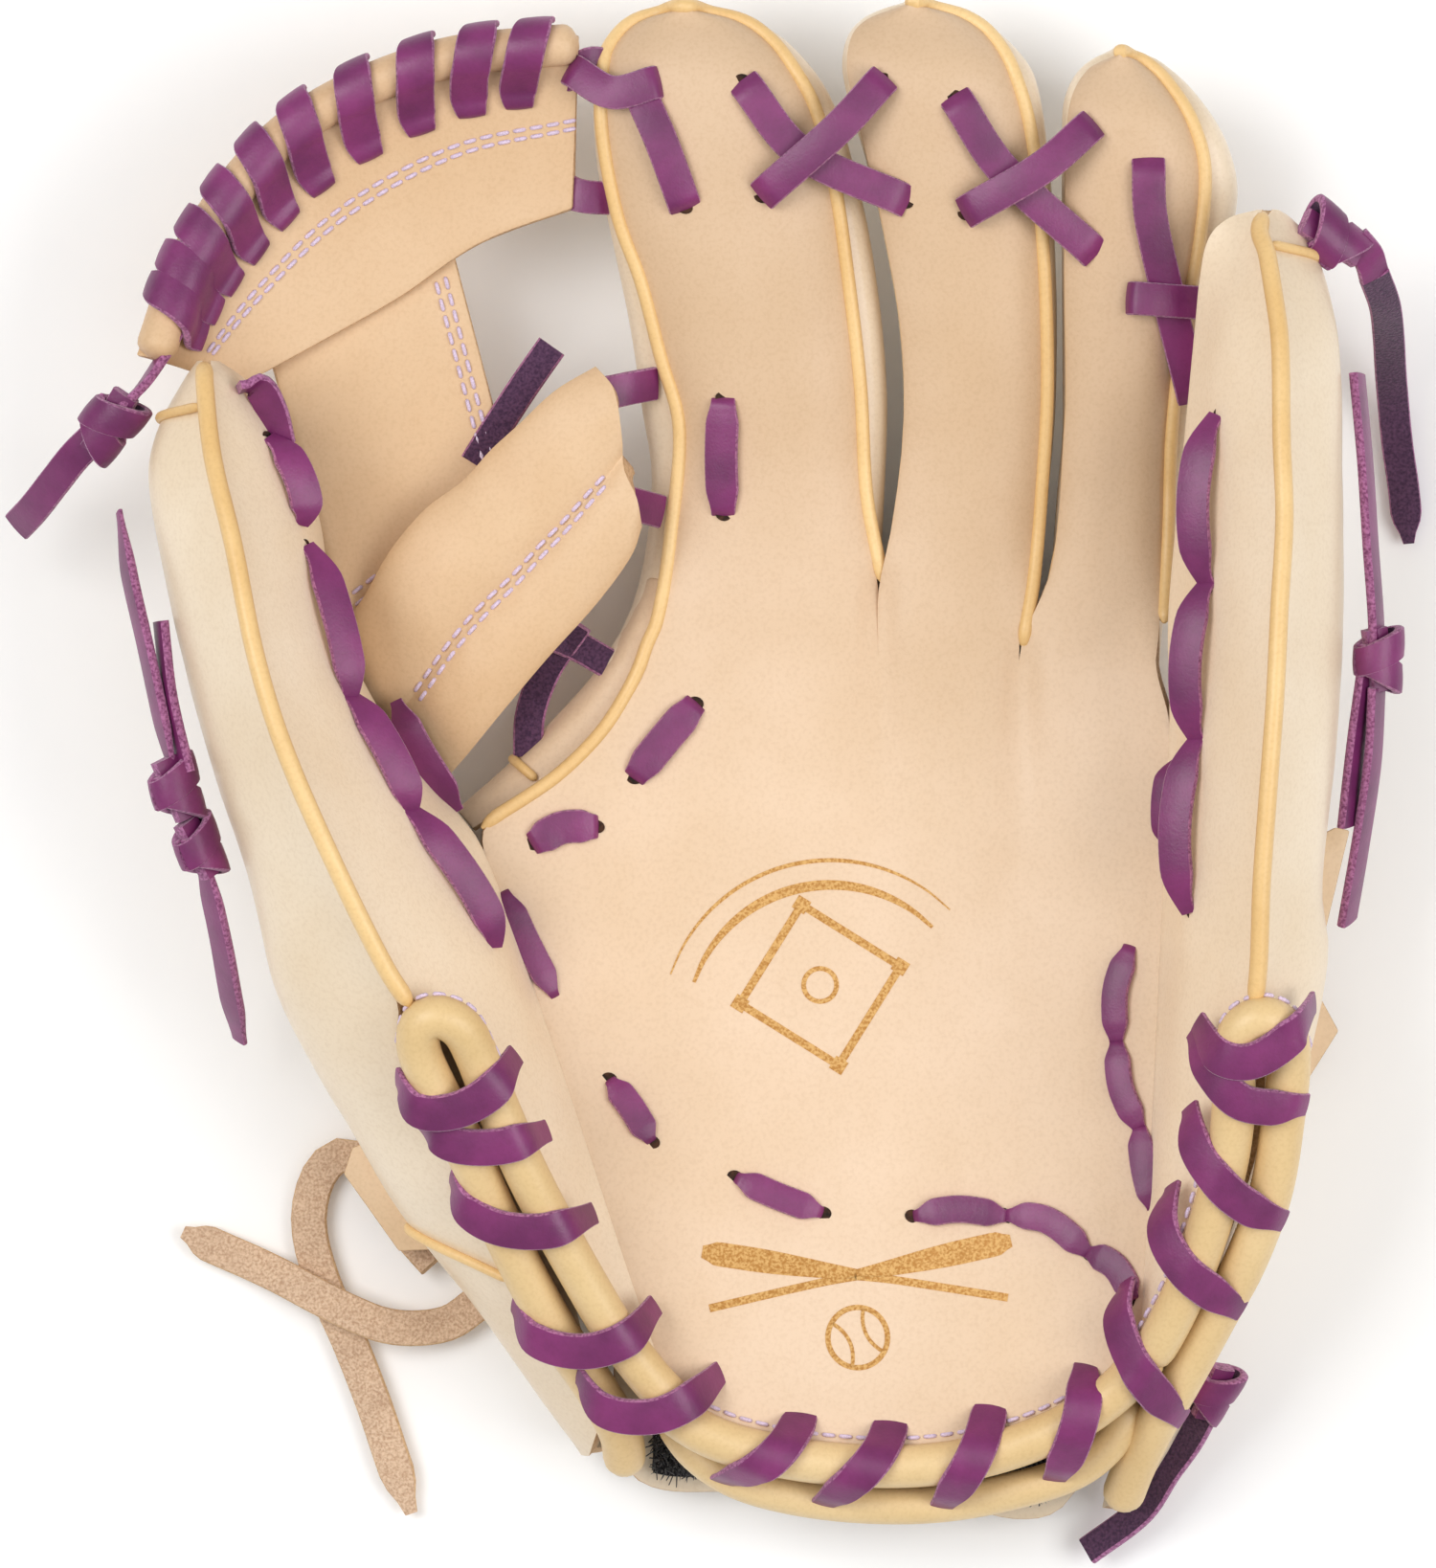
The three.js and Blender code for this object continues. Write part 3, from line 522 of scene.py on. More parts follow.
def stitches(name, lines, body):
    """Sewn rows: a capsule for each stitch. lines hold points and the surface's up vector."""
    parts = []
    for points, up in lines:
        length = measured(spline(points, 100))
        count = max(2, int(length / STITCH_PITCH))
        path = spline(points, count * 4)
        for k in range(count):
            a, b = path[k * 4], path[min(k * 4 + 3, len(path) - 1)]
            middle = (a + b) / 2
            run = unit(b - a) * STITCH_LENGTH
            lift = np.array(up, float) * THREAD_R * 0.5
            pts = [middle + run * (t - 0.5) + lift * (1 - abs(2 * t - 1) ** 3 * 1.6)
                   for t in (0.0, 0.12, 0.5, 0.88, 1.0)]
            parts.append(swept(pts, up, circle(THREAD_R, 6),
                               lambda t: 0.55 if t in (0.0, 1.0) else 1.0))
    return declare(merged(name, parts, [THREAD], sharp=80), "lace", body)


# ---- Rails of keys (y, x, f), the same that the frame's solids follow
thumb = {
    "inner": rail((16, -43.2, 12.5), (40, -51.5, 8), (80, -64.8, 5), (118, -78.5, 4),
                  (128, -86, 4), (140, -95.5, 4), (160, -105.5, 5), (180, -109, 6),
                  (195, -114, 10), (205, -122, 20), (208.5, -127, 25)),
    "mid": rail((16, -45, 14), (40, -58, 16), (80, -70, 20), (100, -77.5, 22), (125, -92.5, 27),
                (146, -103, 28), (160, -107.5, 27), (177, -111, 26), (194, -117, 27),
                (205, -124, 28), (208.5, -127.6, 26.5)),
    "ridge": rail((3, -54, -1), (10, -51, 8), (16, -49.5, 15), (28, -59.5, 22), (41, -68, 28),
                  (56, -75, 34), (73, -83, 40), (85.6, -88.5, 45), (96, -95, 48),
                  (115.6, -104.5, 53), (136.6, -113.5, 55), (153, -118.6, 54),
                  (174, -123, 50), (190, -127, 44), (205, -129, 35), (208.5, -129.2, 29)),
    "side": rail((3, -60, -10), (19, -71, -4), (32, -80, 2), (41, -87.3, 6), (53, -95.6, 12),
                 (64, -101.5, 16), (75, -108, 20), (91, -116, 24), (111, -120.7, 27),
                 (132, -127.5, 28), (155, -134, 28), (176, -138.2, 28), (188, -139.6, 26),
                 (196, -138, 25), (205, -133.5, 23), (208.5, -131, 25)),
    "low": rail((3, -57, -18), (30, -72, -20), (60, -90, -19), (90, -105, -16),
                (120, -115, -12), (150, -124, -6), (180, -129, 0), (196, -128, 6),
                (205, -127, 14), (208.5, -129, 22)),
    "back": rail((3, -56, -21.5), (60, -68, -21.5), (105, -83, -20), (120, -90, -12),
                 (132, -96, -4), (145, -103, -1), (160, -109, 0.5), (180, -113, 2),
                 (195, -118, 6), (205, -123.5, 16), (208.5, -127.5, 23)),
}
pinky = {
    "inner": rail((20, 44.5, 14), (53, 46.2, 12), (88, 48, 10), (124, 49.6, 10), (142, 50.2, 11),
                  (160, 49.9, 12), (178, 51.2, 15), (196, 52.8, 19), (215, 54.5, 22),
                  (224, 55.3, 25), (231.4, 57, 27), (235, 61, 27.5), (236.5, 66.5, 27)),
    "mid": rail((20, 45.2, 16), (53, 50.5, 22), (88, 53, 29), (124, 54.6, 31), (160, 57, 33),
                (196, 58.5, 34), (215, 60, 34), (232, 63, 30), (236.5, 66.8, 28)),
    "ridge": rail((-8, 40, -7), (6, 43, 3), (14, 45, 10), (20, 46, 16), (27, 49, 20),
                  (38, 54.5, 26), (49, 58.5, 31), (61, 62, 36), (71, 63, 41), (82, 63.5, 45),
                  (96, 64.8, 49), (111, 65.2, 52), (128, 66.3, 54), (145, 67.5, 55),
                  (162, 68.4, 54), (178.5, 69.4, 52), (193, 69, 50), (211, 68.9, 46),
                  (221, 67.8, 42), (228, 66.8, 38), (233.5, 65.6, 33), (236.5, 67.5, 29.5)),
    "side": rail((-8, 44, -13), (6, 52, -8), (17.6, 57.3, -4), (30, 62.5, 2), (45, 67, 8),
                 (64, 72.4, 16), (81.5, 76.4, 22), (98, 79.2, 24), (111, 78, 26),
                 (137, 80.6, 28), (170, 81.8, 28), (204, 81.3, 28), (222, 78.8, 26),
                 (231.4, 75.2, 25), (235, 72, 25.5), (236.5, 69.5, 27)),
    "low": rail((-8, 42, -18), (20, 52, -19), (50, 60, -19), (80, 66, -16), (110, 69, -10),
                (140, 71, -2), (170, 72, 5), (200, 72, 11), (222, 71, 16), (232, 69, 20),
                (236.5, 68.5, 25)),
    "back": rail((-8, 41, -21.5), (40, 48, -21.5), (80, 50, -21.5), (110, 52, -17),
                 (130, 53.5, -8), (145, 54.5, 1), (165, 55.5, 8.5), (200, 57, 15),
                 (222, 60, 20), (232, 65, 23), (236.5, 67, 26)),
}
fingers = {
    "index": {
        "left": rail((153, -48), (161, -44.6), (178, -42), (197, -40.5), (210, -44),
                     (224, -47.7), (236, -52), (253, -55), (265.5, -54.4), (270, -52),
                     (272.8, -48.5), (274.4, -43)),
        "right": rail((153, -4), (166, -4), (184, -7.2), (205, -8.5), (226, -11), (242, -13.4),
                      (256, -17), (265.5, -22.4), (270, -26.4), (272.8, -31), (274.4, -38)),
        "outL": rail((140, -62), (150, -57.5), (161, -51), (173, -47.6), (188, -46.2),
                     (200, -48), (215, -50.2), (231, -53.5), (246, -56.5), (260, -57),
                     (268, -54.5), (273, -50), (276, -43)),
        "outR": rail((140, -4.6), (160, -4.4), (183, -3.2), (205, -2.8), (228, -5.4),
                     (246, -9.2), (258, -13.2), (266, -18.6), (272, -26), (276, -38)),
        "tip": 274.4, "edge": (1.0, 1.0),
    },
    "middle": {
        "left": rail((153, -4), (166, -4), (179, -1.4), (197, 0.6), (215, 0), (234, -3.4),
                     (246, -6.2), (262, -10), (269, -9.4), (272.6, -6.4),
                     (275.2, 0)),
        "right": rail((153, 22.4), (157, 22.4), (168, 24.2), (184, 25.6), (205, 26.6),
                      (231, 25.6), (251, 23.4), (263, 20), (270, 15.8), (273.4, 11),
                      (275.2, 4.5)),
        "outL": rail((140, -3.6), (165, -3.4), (179, -1), (197, 1), (215, 0.2), (234, -3.2),
                     (246, -6), (262, -10.4), (269, -10), (273.4, -6.6), (276.6, 1)),
        "outR": rail((140, 22), (160, 23.4), (171, 26), (184, 27.8), (205, 29.2), (231, 28.8),
                     (246, 27.6), (262, 25), (269, 20), (273.4, 13.6), (276.6, 4)),
        "tip": 275.2, "edge": (0.5, 1.0),
    },
    "ring": {
        "left": rail((153, 22.4), (157, 23), (171, 28.6), (197, 30.8), (205, 31), (225, 30.6),
                     (250, 30.8), (258, 31.8), (263.6, 35.2), (266, 40)),
        "right": rail((153, 47.8), (160, 48.6), (178, 49.5), (196, 50), (215, 52), (232, 55),
                      (245, 55.8), (254, 53.2), (261.6, 48.4), (265, 44.6), (266, 42)),
        "outL": rail((140, 23.6), (160, 25.8), (171, 28.8), (184, 29.9), (197, 30.8),
                     (225, 30.6), (250, 30.6), (258, 31), (264, 34), (268, 40)),
        "outR": rail((140, 47.5), (160, 49.4), (178, 51.5), (196, 55), (225, 60), (240, 63),
                     (250, 61), (259, 55.4), (265, 49), (268, 43)),
        "tip": 266.0, "edge": (0.5, 1.0),
    },
}
front_line = rail((0, 10), (10, 8.5), (25, 5.5), (45, 2.4), (70, 0.4), (95, -0.6), (120, -0.8),
                  (145, 0), (165, 2.2), (185, 5.5), (210, 10.5), (235, 15.5), (255, 19), (275, 20.5))
CROTCH = 153.0
HEEL_TUCK = [(-46, 17.4), (-36.6, 11.4), (-29, 8.6), (-15.7, 6), (1, 5.2), (15.7, 7.2), (30.2, 12.4),
             (40, 18.6), (47, 26)]


def palm_left(y):
    if y < 118:
        return thumb["inner"](y)[0]
    crotch = rail((118, -78.5), (122, -77.6), (126, -71.5), (133, -61.8), (143, -53), (153, -48))
    return crotch(y)[0]


def palm_right(y):
    return pinky["inner"](y)[0] if y < 140 else lerp(50.3, 47.8, smoothstep(140, 153, y))


def heel_line(x):
    """The palm's lower edge, tucked against the heel binding."""
    return cubic(HEEL_TUCK, x)[0]


left_rise = rail((0, 3), (16, 4), (40, 5.4), (80, 4.6), (118, 4.7), (150, 0))
right_rise = rail((0, 4), (20, 8), (53, 9.6), (88, 10.4), (124, 10.6), (142, 10), (165, 3),
                  (185, 0))


def wrinkle(x, y):
    """Slow unevenness of worked leather."""
    return (0.55 * noise.noise(Vector((x * 0.035, y * 0.03, 4.1)))
            + 0.22 * noise.noise(Vector((x * 0.11, y * 0.07, 1.7))))


def pocket(x, y):
    """Height of the palm's face."""
    clamp = min(y, 150)
    xl, xr = palm_left(clamp), palm_right(clamp)
    s = min(1.0, abs((2 * x - xl - xr) / (xr - xl)))
    edge = (left_rise if x < (xl + xr) / 2 else right_rise)(y)[0]
    valley = 0.0
    for cx, top in ((-4.0, 166.0), (22.8, 153.0)):
        reach = smoothstep(top - 62, top - 4, y) * (1 - smoothstep(top, top + 6, y))
        valley += 2.0 * reach * math.exp(-((x - cx) / (3.2 + 0.05 * max(0, top - y))) ** 2)
    return front_line(y)[0] + max(0.0, edge) * s ** 2.4 - valley + wrinkle(x, y)


def finger_height(name, s, y):
    """Height of a finger's face at s from its left to its right edge."""
    f = fingers[name]
    left, right = f["left"](y)[0], f["right"](y)[0]
    x = lerp(left, right, s)
    open_up = smoothstep(CROTCH, CROTCH + 26, y)
    lean = abs(2 * s - 1)
    drop = 3.4 * lean ** 3.2 * f["edge"][0 if s < 0.5 else 1] + 0.9 * lean ** 2
    tip = smoothstep(f["tip"] - 18, f["tip"], y)
    return x, pocket(x, y) - open_up * drop - 5.0 * tip ** 2


def face_height(x, y):
    """Height of palm or finger leather under the point (x, y)."""
    if y > CROTCH:
        for name, f in fingers.items():
            left, right = f["left"](y)[0], f["right"](y)[0]
            if left <= x <= right:
                return finger_height(name, (x - left) / (right - left), y)[1]
        return -20.0
    return pocket(x, y)


# ---- Palm hide and finger fronts
seam_one = rail((2, -12), (60, -13), (110, -9), (140, -5), (153, -4))
seam_two = rail((4, 13), (60, 13), (110, 17), (140, 21.6), (153, 22.4))
ROWS_PALM, COLS = 72, 24


def border(x_of_y, v, x):
    """Where a palm row v meets a side rail; x is a first guess."""
    for _ in range(6):
        x = x_of_y(lerp(heel_line(x), CROTCH, v))
    return x


def palm_grid(name, left, right):
    f, rows = fingers[name], []
    for j in range(ROWS_PALM + 1):
        v = j / ROWS_PALM
        xl = border(left, v, -30 if name == "index" else 0)
        xr = border(right, v, 40 if name == "ring" else 0)
        row = []
        for i in range(COLS + 1):
            x = lerp(xl, xr, i / COLS)
            y = lerp(heel_line(x), CROTCH, v)
            row.append((x, y, pocket(x, y)))
        rows.append(row)
    for y in eased(CROTCH, f["tip"], 84, 0.85)[1:]:
        row = []
        for i in range(COLS + 1):
            x, z = finger_height(name, i / COLS, y)
            row.append((x, y, z))
        rows.append(row)
    return rows


PALM_GRIDS = [palm_grid("index", palm_left, lambda y: seam_one(y)[0]),
              palm_grid("middle", lambda y: seam_one(y)[0], lambda y: seam_two(y)[0]),
              palm_grid("ring", lambda y: seam_two(y)[0], palm_right)]


def build_palm():
    """The palm hide with the finger fronts, and the lining behind all but its outer edges."""
    obj = hide("palm_hide", PALM_GRIDS, HIDE, [PALM, CUT], (0, 0, 1))
    declare(obj, "leather", "palm", "palm_leather")
    lined_rows = slice(8, ROWS_PALM + 60, 3)
    lined_columns = (slice(6, None), slice(None), slice(None, -4))
    lining_grids = []
    for grid, columns in zip(PALM_GRIDS, lined_columns):
        lining_grids.append([[(x, y, f - HIDE - 0.5) for x, y, f in row[columns]]
                             for row in grid[lined_rows]])
    lining = hide("palm_lining_hide", lining_grids, 1.1, [LINING], (0, 0, 1), 0)
    declare(lining, "lining", "palm", "palm_lining")


# ---- Finger backs, thumb and little finger shells
def finger_back(name):
    """A finger's back: from both front edges out to the sides, round behind, closed at the tip."""
    f = fingers[name]
    tip = f["tip"] + 1.9
    dome = 17.0            # length over which the back closes round the tip
    rows = []
    for y in eased(146, tip, 60, 0.8):
        t = max(0.0, (y - (tip - dome)) / dome)
        depth = math.sqrt(max(0.0, 1 - min(1, t) ** 2.1))
        rim = min(max(y, CROTCH), f["tip"])
        _, edge_l = finger_height(name, 0.0, rim)
        _, edge_r = finger_height(name, 1.0, rim)
        deep = max(-24.5, front_line(y)[0] - 25)
        top_l, top_r = edge_l - 1.7, edge_r - 1.7
        low = lerp(min(top_l, top_r) - 1.5, deep, depth)
        xl, xr = f["outL"](y)[0], f["outR"](y)[0]
        fl = max(f["left"](rim)[0] + 0.3, xl + 0.2)
        fr = min(f["right"](rim)[0] - 0.3, xr - 0.2)
        w = xr - xl
        keys = [(0.0, fl, top_l), (0.12, lerp(fl, xl, 0.86), lerp(top_l, low, 0.12)),
                (0.24, xl, lerp(top_l, low, 0.42)), (0.36, xl + 0.13 * w, lerp(top_l, low, 0.86)),
                (0.5, (xl + xr) / 2, low), (0.64, xr - 0.13 * w, lerp(top_r, low, 0.86)),
                (0.76, xr, lerp(top_r, low, 0.42)),
                (0.88, lerp(fr, xr, 0.86), lerp(top_r, low, 0.12)), (1.0, fr, top_r)]
        row = []
        for i in range(41):
            x, z = cubic(keys, i / 40)
            tuck = max(0.0, y - rim) * abs(i / 20 - 1) ** 2.5
            row.append((x + 0.4 * wrinkle(x, y), y - tuck, z))
        rows.append(row)
    last = rows[-1]
    inside = ((f["left"](f["tip"])[0] + f["right"](f["tip"])[0]) / 2, f["tip"] - 1.0,
              finger_height(name, 0.5, f["tip"])[1] - 1.6)
    for share in (0.35, 0.7, 0.94):
        rows.append([tuple(lerp(a, b, share) for a, b in zip(p, inside)) for p in last])
    obj = hide(f"{name}_finger_back", [rows], 1.8, [SHEEN], (0, 0, -1), 0)
    declare(obj, "sheen", "palm", f"{name}_back")


def section(rails, stops, u, y):
    """Point across a fold at height y: the rails are met at their stops."""
    keys = [(s, *r(y)) for s, r in zip(stops, rails)]
    return cubic(keys, u)


FACE_STOPS, SHELL_STOPS = (0, 0.45, 1), (0, 0.4, 0.75, 1)


def fold_face(d, u, y):
    x, f = section((d["inner"], d["mid"], d["ridge"]), FACE_STOPS, u, y)
    return np.array([x, y, f])


def fold_shell(d, u, y):
    x, f = section((d["ridge"], d["side"], d["low"], d["back"]), SHELL_STOPS, u, y)
    return np.array([x, y, f])


def trim(fn, d, at, mm, y):
    """Share of the section that takes up this many millimetres at its end."""
    probe = 0.08
    a, b = fn(d, at, y), fn(d, abs(at - probe), y)
    return probe * mm / max(1e-6, np.linalg.norm(a - b))


FOLDS = {
    "thumb": dict(rails=thumb, heel=3.0, tip=208.3, room=(8.0, 7.2), out=(-1, 0, 0),
                  inward=(1, 0, 0.6)),
    "pinky": dict(rails=pinky, heel=-8.0, tip=236.3, room=(4.6, 6.6), out=(1, 0, 0),
                  inward=(-1, 0, 0.6)),
}
ROLL_TOP = 84.0        # the heel bindings end and the ridge piping begins


def palm_border_rows(side):
    """Heights y where the palm's rows meet this side, so that both meshes share their border."""
    grid = PALM_GRIDS[0] if side == "thumb" else PALM_GRIDS[2]
    column = 0 if side == "thumb" else -1
    limit = 117 if side == "thumb" else 139
    return [row[column][1] for row in grid[:ROWS_PALM + 1] if row[column][1] < limit]


def clearance(room, y):
    """What face and shell leave free of the ridge: the roll's room low down, the piping's above."""
    return lerp(room, WELT_R + 0.3, smoothstep(ROLL_TOP - 2, ROLL_TOP + 8, y))


def build_face(name):
    """The face that turns up from the palm, whose lower rows meet the palm's own border."""
    spec = FOLDS[name]
    d = spec["rails"]
    shared = palm_border_rows(name)
    start = shared[-1]
    rows = []
    for y in shared + eased(start, spec["tip"], 70, 0.95)[1:]:
        end = 1 - trim(fold_face, d, 1, clearance(spec["room"][0], y), y)
        row = []
        for i in range(33):
            u = end * i / 32
            p = fold_face(d, u, y)
            if u == 0 and y <= start:
                p[2] = pocket(p[0], y)
            if u > 0:
                if y <= start:
                    x, f = d["inner"](y)
                    p[2] += (pocket(x, y) - f) * (1 - smoothstep(0, 0.22, u))
                bow = -spec["out"][0] * math.sin(math.pi * u)
                p[0] += 0.7 * bow * wrinkle(y * 1.3, p[2] * 2)
            row.append(p)
        rows.append(row)
    face = hide(f"{name}_face_hide", [rows], HIDE, [FACE, CUT], spec["inward"])
    return declare(face, "leather", None, f"{name}_face")


def build_shell(name):
    """The shell behind the face, the piping on the ridge between both, and the face's lining."""
    spec = FOLDS[name]
    d = spec["rails"]
    shell_rows = []
    for y in eased(spec["heel"], spec["tip"], 90, 0.9):
        begin = trim(fold_shell, d, 0, clearance(spec["room"][1], y), y)
        row = []
        for i in range(49):
            u = lerp(begin, 1, i / 48)
            p = fold_shell(d, u, y)
            p[0] += 0.8 * wrinkle(y, p[2] * 1.4 + 60)
            row.append(p)
        shell_rows.append(row)
    shell = hide(f"{name}_shell_hide", [shell_rows], HIDE, [SHEEN, CUT], spec["out"])
    declare(shell, "sheen", name, f"{name}_shell")
    ridge = []
    for y in np.linspace(ROLL_TOP + 5, spec["tip"] - 0.8, 41):
        x, f = d["ridge"](y)
        ridge.append((x + 0.1 * spec["out"][0], y, f + 0.6))
    welt = merged(f"{name}_ridge_welt", [tube(ridge, WELT_R + 0.35, 12, 120)], [TAN])
    declare(welt, "tan", name, f"{name}_welt")
    behind = np.array(spec["inward"]) * 3.2
    rows = [[fold_face(d, u, y) - behind for u in np.linspace(0.12, 0.82, 9)]
            for y in np.linspace(94, spec["tip"] - 18, 25)]
    lining = hide(f"{name}_lining_hide", [rows], 1.1, [LINING], spec["inward"], 0)
    declare(lining, "lining", name, f"{name}_lining")


# ---- Rolled heel bindings, welts, cross piping
HEEL_ROLLS = {
    "thumb_in": [(-41, 13.4, 14.6), (-45, 17, 16), (-49, 21.8, 17.6), (-53.8, 28.5, 20.2),
                 (-59.8, 39, 24.6), (-66, 50.6, 30), (-71, 61, 34.6), (-76, 73, 39.6),
                 (-78.7, 80, 42.6)],
    "thumb_out": [(-89.2, 81, 43.8), (-86.4, 74, 40.2), (-80.2, 61.2, 33.6), (-75.8, 50.8, 28),
                  (-70.2, 38.8, 22), (-64.2, 27.6, 16), (-57, 16.6, 9), (-52.6, 8, 2),
                  (-51.6, 0.6, -6)],
    "pinky_in": [(45.5, 22, 16.4), (49, 28, 20.6), (53.2, 37.5, 26), (57, 49, 31.4),
                 (59.8, 60.7, 36.6), (60.8, 71.4, 41.4), (60.5, 80, 44.6)],
    "pinky_out": [(70.8, 80.5, 44), (70.2, 70, 39.4), (68.2, 55, 32.8), (64, 42, 26.2),
                  (58.4, 30.5, 19.2), (52.4, 18.6, 12), (47.6, 9.4, 5), (44, 1, -2),
                  (41.6, -6.4, -9)],
    "palm": [(-47, 16.4, 12), (-43, 12.6, 12.4), (-36.6, 8.4, 12.6), (-29, 5.6, 11.8),
             (-15.7, 3, 10.8), (1, 2.2, 10.4), (15.7, 4.2, 10.8), (30.2, 9.6, 12), (40, 16.4, 14),
             (47, 24.5, 18)],
    "under": [(-44, 12, 1), (-38.6, 4.4, 2), (-31, -0.8, 2.6), (-20, -4, 2.6), (-6.5, -5.6, 2.4),
              (7.4, -5.4, 2.4), (21, -3, 2.8), (33, 1, 3.4), (40, 7, 3.6), (43.6, 15, 4)],
}


def hood(inner, outer):
    """The roll turns over the top of the heel's corner, from its inner to its outer half."""
    a, b = np.array(inner), np.array(outer)
    middle = (a + b) / 2
    rise = np.array([-1.5 if a[0] < 0 else 0.0, 6.6, 4.2])
    return [inner, tuple(lerp(a, middle, 0.3) + rise * 0.72), tuple(middle + rise),
            tuple(lerp(b, middle, 0.3) + rise * 0.72), outer]


def build_rolls():
    for name in ("thumb", "pinky"):
        inner, outer = HEEL_ROLLS[f"{name}_in"], HEEL_ROLLS[f"{name}_out"]
        points = inner[:-1] + hood(inner[-1], outer[0]) + outer[1:]
        obj = merged(f"{name}_heel_binding", [tube(points, ROLL_R, 20, 150)], [ROLL])
        declare(obj, "tan", name, f"{name}_roll_inner", f"{name}_roll_outer")
    palm = merged("palm_heel_binding", [tube(HEEL_ROLLS["palm"], ROLL_R, 20, 100)], [ROLL])
    under = merged("back_heel_binding", [tube(HEEL_ROLLS["under"], ROLL_R - 0.5, 18, 80)], [ROLL])
    declare(palm, "tan", "palm", "heel_roll")
    declare(under, "tan", "palm", "heel_back_roll")


def edge_line(name, s, ys):
    """Points beside the left (s = 0) or right (s = 1) edge of a finger's front."""
    points = []
    for y in ys:
        x, z = finger_height(name, s, max(y, CROTCH))
        points.append((x + (0.9 if s else -0.9), y, z - 0.5))
    return points


def finger_welt(name, y0):
    """Piping up the right edge and over the tip, where its end sinks into the seam."""
    top = fingers[name]["tip"]
    points = edge_line(name, 1.0, eased(y0, top - 0.2, 60))
    for i in range(1, 10):
        x, z = finger_height(name, 1 - i / 12, top)
        points.append((x, top + 0.6, z - 0.4 - 2.4 * smoothstep(5, 9, i)))
    return tube(points, WELT_R, 12, 160)


def build_welts():
    index_line = [(palm_left(y) - 0.6, y, pocket(palm_left(y), y) - 0.6)
                  for y in (121.5, 124, 127, 131, 136, 141, 147)]
    top = fingers["index"]["tip"]
    climb = edge_line("index", 0.0, eased(152, top - 0.4, 50))
    tip = []
    for i in range(1, 12):
        x, z = finger_height("index", i / 12, top)
        tip.append((x, top + 0.6, z - 0.4))
    down = edge_line("index", 1.0, reversed(eased(167.7, top - 0.3, 50)))
    welts = {"index": tube(index_line + climb + tip + down, WELT_R, 12, 260),
             "middle": finger_welt("middle", 155.5), "ring": finger_welt("ring", 160)}
    for name, welt in welts.items():
        obj = merged(f"{name}_finger_welt", [welt], [TAN])
        declare(obj, "tan", "palm", f"{name}_welt")


CROTCH_WELT = [(-43.6, 168), (-45.1, 160.7), (-52.8, 142.7), (-62.3, 133.2),
               (-71.8, 126.4), (-80, 121)]
CROTCH_EDGE = [(-48.4, 169), (-51.4, 160.4), (-58, 150.2), (-67.3, 140), (-74, 133.4),
               (-83.5, 125)]


def build_crotch():
    """The side wall that turns down between index finger and thumb."""
    welt = spline([(x, y, 0) for x, y in CROTCH_WELT], 48)[:, :2]
    rim = spline([(x, y, 0) for x, y in CROTCH_EDGE], 48)[:, :2]
    rows = []
    for k, (a, b) in enumerate(zip(welt, rim)):
        top = front_line(a[1])[0] + 0.2 - 3.0 * (1 - smoothstep(0, 9, k))
        keys = [(0.0, *lerp(a, b, 0.1), top - 1.4), (0.35, *lerp(a, b, 0.72), top - 3.2),
                (0.6, *b, top - 8), (0.8, *lerp(a, b, 0.86), top - 15),
                (1.0, *lerp(a, b, 0.4), top - 22)]
        rows.append([cubic(keys, i / 20) for i in range(21)])
    wall = hide("index_crotch_wall", [rows], 2.0, [PALM, CUT], (-1, -0.6, 0.2))
    declare(wall, "leather", "palm")
    across = [rows[36][i] + np.array([-0.2, 0.1, 0.5]) for i in range(1, 13)]
    pipe = merged("crotch_cross_piping", [tube(across, CROSS_R, 10, 24)], [TAN])
    declare(pipe, "tan", "palm")


def heel_sewing():
    """Thread beside the palm's binding, round both hoods and beside the little finger's roll."""
    line = [(x, y + 1.0, pocket(x, y + 1.0) + 0.25) for x, y in
            [(-36, 12.6), (-29, 9.9), (-15.7, 7.2), (1, 6.4), (15.7, 8.4), (27.3, 12.4), (36.6, 18)]]
    stitches("palm_edge_sewing", [(line, (0, 0, 1))], "palm")
    for name in ("thumb", "pinky"):
        arc = np.array(hood(HEEL_ROLLS[f"{name}_in"][-1], HEEL_ROLLS[f"{name}_out"][0]))
        middle = (arc[0] + arc[-1]) / 2
        out = []
        for p in arc:
            x, y = p[:2] + unit(p[:2] - middle[:2]) * (ROLL_R + 0.25)
            out.append((x, y, p[2] - 0.2))
        stitches(f"{name}_hood_sewing", [(out, (0, 0.5, 1))], name)
    side = [(x - 4.6, y, z - 0.6) for x, y, z in
            [(48.6, 28, 19), (53.2, 37.5, 25), (57, 49, 30.6), (59.4, 58, 34.6)]]
    stitches("pinky_edge_sewing", [(side, (-0.6, 0, 1))], "pinky")


def cross_piping():
    """Short raised seams across the shells, near the tips and low on the thumb's side."""
    crease = [fold_shell(thumb, u, y) + np.array([-0.7, 0, 0.5]) for u, y in
              ((0.50, 47), (0.40, 46), (0.30, 43.6), (0.20, 40.4), (0.12, 37.4))]
    for name, y0, y1, more in (("thumb", 199.5, 196.5, [crease]), ("pinky", 229.5, 226, [])):
        points = []
        for i in range(17):
            t = i / 16
            p = fold_shell(FOLDS[name]["rails"], lerp(0.04, 0.66, t), lerp(y0, y1, t))
            points.append(p + np.array([0.5 * FOLDS[name]["out"][0], 0, 0.5 * (1 - t)]))
        pipes = [tube(line, CROSS_R, 10, 40) for line in [points] + more]
        declare(merged(f"{name}_cross_piping", pipes, [TAN]), "tan", name)


